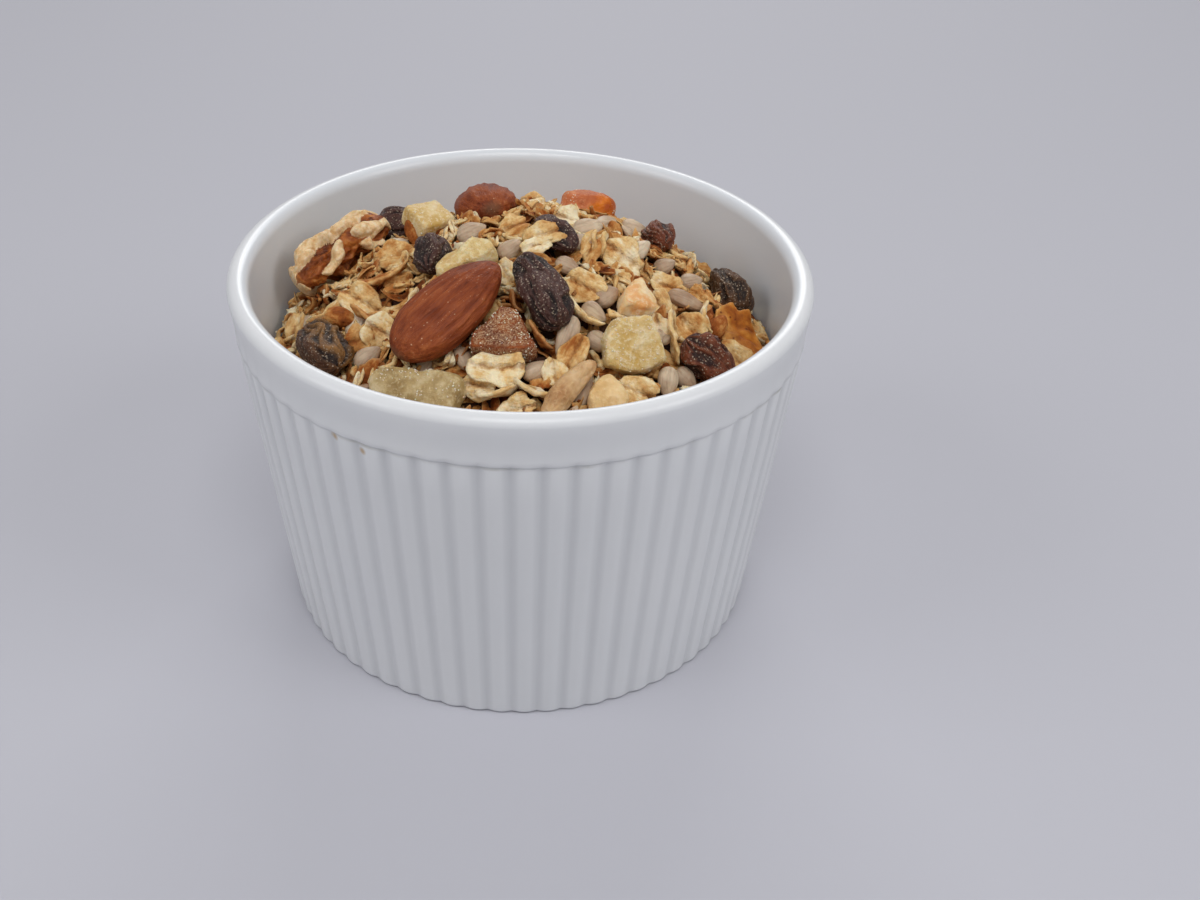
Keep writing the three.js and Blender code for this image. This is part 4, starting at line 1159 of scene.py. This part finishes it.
def drop(field, pile, random, piece, axes, place, sink, allowed, limit, tone, share=0.85):
    """Lays a piece down at `place`; False where it doesn't fit or stands above `limit`."""
    points, values = piece
    moved, cells = field.rest(points @ axes.T, place, sink, share)
    if moved is None or not field.clear(moved, cells, allowed):
        return False
    if np.quantile(moved[:, 2] - field.mean[cells], 0.9) > limit:
        return False
    field.lay(moved, cells)
    keep(pile, random, points, moved, float(np.clip(random.normal(*tone), 0, 1)), values)
    return True


def keep(pile, random, points, placed, tone, values):
    """Adds a piece to its pile, with a place of its own in the grain."""
    pile.add(placed, local=points + random.uniform(0, LOCAL_SPAN, 3), tone=tone, **values)


def flake_kind(random):
    """Length, width and form of one more flake: some whole, more of them broken or slivers."""
    kind = random.random()
    if kind < 0.27:
        return dict(length=random.uniform(6.2, 8.6), width=random.uniform(4.2, 5.7), breaks=0)
    if kind < 0.64:
        return dict(length=random.uniform(5, 7.8), width=random.uniform(3.2, 5.0),
                    breaks=int(random.integers(1, 3)))
    return dict(length=random.uniform(4, 8.8), width=random.uniform(1.4, 2.7), breaks=0)


def small_kind(random):
    """Length, width and form of one more small sliver."""
    return dict(length=random.uniform(2.6, 5.8), width=random.uniform(0.9, 1.9), sides=SLIVER_SIDES)


def scatter_flakes(field, pile, random, count, limit, steep, tan, kind=flake_kind, tries=6):
    """Drops flakes where the heap lacks height, tilted as what they fall on, until it is full.

    `steep` is how readily they stand up, `tan` their mean tone, `tries` the places looked at; a darker mean
    tone for a deeper layer is painted shade.
    """
    laid = 0
    for _ in range(count * 3):
        if laid >= count:
            break
        place, lack = field.lowest(random, tries, FLAKE_REACH)
        if lack < -limit:
            continue
        form = kind(random)
        piece = flake_shape(random, thickness=random.uniform(0.45, 0.8), curl=random.normal(0.4, 0.75),
                            cup=random.normal(0.2, 0.5), crease=random.uniform(0, 0.5), **form)
        tilts = [random.uniform(0, 20), random.uniform(20, 50), random.uniform(STEEP, 88)]
        tilt = random.choice(tilts, p=[0.8 * (1 - steep), 0.2 + 0.3 * steep, 0.5 * steep])
        axes = field.axes(place, random.uniform(0, 360), roll=tilt if random.random() < 0.6 else 0,
                          lean=tilt * 0.6 if tilt < 50 else 0)
        sink = SINK if tilt < 30 else SINK + 0.25 * form["width"] * math.sin(math.radians(tilt))
        laid += drop(field, pile, random, piece, axes, place, sink, 0.05,
                     limit + 1.2 + 1.8 * (tilt > STEEP), (tan, 0.27))


def scatter_kernels(field, pile, random, count, limit):
    laid = 0
    for _ in range(count * 4):
        if laid >= count:
            break
        place, _ = field.lowest(random, 3, KERNEL_REACH)
        size = (random.uniform(5.6, 7.8), random.uniform(2.7, 3.6), random.uniform(1.8, 2.3))
        piece = kernel_shape(random, *size)
        axes = field.axes(place, random.uniform(0, 360), random.normal(0, 12), random.normal(0, 25))
        laid += drop(field, pile, random, piece, axes, place, 0.7, 0.06, limit + 1.2, (0.5, 0.25))


def scatter_crumbs(field, pile, random, count):
    for _ in range(count):
        place, _ = field.lowest(random, 2, CRUMB_REACH)
        piece = crumb_shape(random, min(random.lognormal(-0.1, 0.4), 2.4))
        axes = field.axes(place, random.uniform(0, 360))
        drop(field, pile, random, piece, axes, place, 0.15, 0.3, math.inf, (0.4, 0.3), 0.5)


def shown_shape(random, kind, length, width, curl):
    if kind == "kernel":
        return kernel_shape(random, max(length * 0.95, 4.4), width * 0.86, 2.1)
    if kind == "grain":
        points, _ = kernel_shape(random, max(length, 4.5), width, 2.8)
        return points, {"rim": 0.0, "across": 1.0}
    thickness, cup = SHOWN_FORMS[kind]
    return flake_shape(random, length, width, thickness, curl, cup, crease=cup)


def place_shown(field, flakes, kernels, grains, random):
    """Lays the pieces of SHOWN, lowered a little where nothing is under them."""
    for kind, rows in SHOWN:
        pile = {"kernel": kernels, "grain": grains}.get(kind, flakes)
        for x, y, turn, lean, roll, length, width, tone, curl, lift in rows:
            points, values = shown_shape(random, kind, length, width, curl)
            placed = place_on_heap(points, (x, y), turn, lean, roll, lift)
            cells = field.cells(placed)
            under = np.maximum(field.height[cells], field.block_top[cells])
            gap = np.quantile(placed[:, 2] - under, 0.1)
            placed[:, 2] -= max(np.clip(gap, 0, 1.0), placed[:, 2].max() - TOP_Z)
            field.block(placed)
            field.lay(placed, cells)
            keep(pile, random, points, placed, tone, values)


def make_muesli(field):
    """The loose pieces, from the deepest to the crumbs on top."""
    random = np.random.default_rng(17)
    deep = Pile("oat_flakes_below", FLAKE_FACES)
    upper = Pile("oat_flakes_above", FLAKE_FACES)
    shown = Pile("oat_flakes_shown", FLAKE_FACES)
    slivers = Pile("oat_slivers", SLIVER_FACES)
    kernels = Pile("sunflower_kernels", KERNEL_FACES)
    grains = Pile("roasted_grains", KERNEL_FACES)
    crumbs = Pile("oat_crumbs", CRUMB_FACES)
    # Painted shade: the deepest flakes get the darkest mean tone, the pieces on top the palest.
    scatter_flakes(field, deep, random, 330, limit=-0.5, steep=0.2, tan=0.6)
    scatter_kernels(field, kernels, random, 12, limit=0.0)
    place_shown(field, shown, kernels, grains, random)
    scatter_flakes(field, upper, random, 480, limit=0.6, steep=0.6, tan=0.4)
    scatter_kernels(field, kernels, random, 13, limit=0.9)
    scatter_flakes(field, slivers, random, 660, limit=1.1, steep=0.7, tan=0.3, kind=small_kind, tries=3)
    scatter_crumbs(field, crumbs, random, 900)
    oats = oat_look()
    for pile in (deep, upper, shown, slivers, crumbs, grains):
        pile.make(oats, "muesli")
    kernels.make(kernel_look(), "muesli")


# ---- Stage ----------------------------------------------------------------------------------
def make_floor():
    half = 3.0  # metres
    mesh = bpy.data.meshes.new("floor")
    corners = [(-half, -half, 0), (half, -half, 0), (half, half, 0), (-half, half, 0)]
    mesh.from_pydata(corners, [], [(0, 1, 2, 3)])
    mesh.materials.append(Look("floor", roughness=0.75).finish((187, 187, 195)))
    floor = bpy.data.objects.new("floor", mesh)
    bpy.context.scene.collection.objects.link(floor)


def make_light(name, place, size, power):
    """A rectangular lamp at `place`, in metres, aimed at the bowl."""
    data = bpy.data.lights.new(name, "AREA")
    data.shape = "RECTANGLE"
    data.size, data.size_y = size
    data.energy = power
    light = bpy.data.objects.new(name, data)
    light.location = place
    aim = Vector((0, 0, 0.05)) - Vector(place)
    light.rotation_euler = aim.to_track_quat("-Z", "Y").to_euler()
    bpy.context.scene.collection.objects.link(light)


def make_lighting():
    world = bpy.data.worlds.new("studio")
    world.use_nodes = True
    background = world.node_tree.nodes["Background"]
    background.inputs["Color"].default_value = (0.96, 0.96, 0.98, 1.0)
    background.inputs["Strength"].default_value = 0.33
    bpy.context.scene.world = world
    make_light("light_above", (0.0, -0.4, 0.9), (0.5, 0.5), 3.5)
    make_light("light_right", (0.65, -0.3, 0.6), (0.4, 0.4), 1.75)
    make_light("light_left", (-0.65, -0.2, 0.55), (0.4, 0.4), 1.25)
    make_light("light_back", (0.1, 1.0, 0.6), (0.7, 0.3), 3.5)
    bpy.context.scene.view_settings.view_transform = "Standard"


# ---- Camera ---------------------------------------------------------------------------------
CAMERA_PLACE = (0.0, -198.35, 164.0)
CAMERA_PAN = math.radians(4.0)
CAMERA_PITCH = math.radians(35.12)  # below the horizon
CAMERA_ROLL = math.radians(2.58)
CAMERA_LENS = 40.35  # on a sensor 36 mm wide


def make_camera():
    forward = Vector((math.sin(CAMERA_PAN) * math.cos(CAMERA_PITCH),
                      math.cos(CAMERA_PAN) * math.cos(CAMERA_PITCH), -math.sin(CAMERA_PITCH)))
    level = Vector((math.cos(CAMERA_PAN), -math.sin(CAMERA_PAN), 0))
    upright = level.cross(forward)
    right = math.cos(CAMERA_ROLL) * level + math.sin(CAMERA_ROLL) * upright
    up = -math.sin(CAMERA_ROLL) * level + math.cos(CAMERA_ROLL) * upright
    data = bpy.data.cameras.new("camera")
    data.lens = CAMERA_LENS
    data.sensor_width = 36
    data.clip_start = 0.01
    camera = bpy.data.objects.new("camera", data)
    camera.matrix_world = Matrix.Translation(Vector(CAMERA_PLACE) * MM) @ Matrix(
        (right, up, -forward)).transposed().to_4x4()
    bpy.context.scene.collection.objects.link(camera)
    bpy.context.scene.camera = camera


make_camera()
make_lighting()
make_floor()
make_bowl()
make_core()
heap_field = Field()
make_toppings(heap_field)
make_muesli(heap_field)
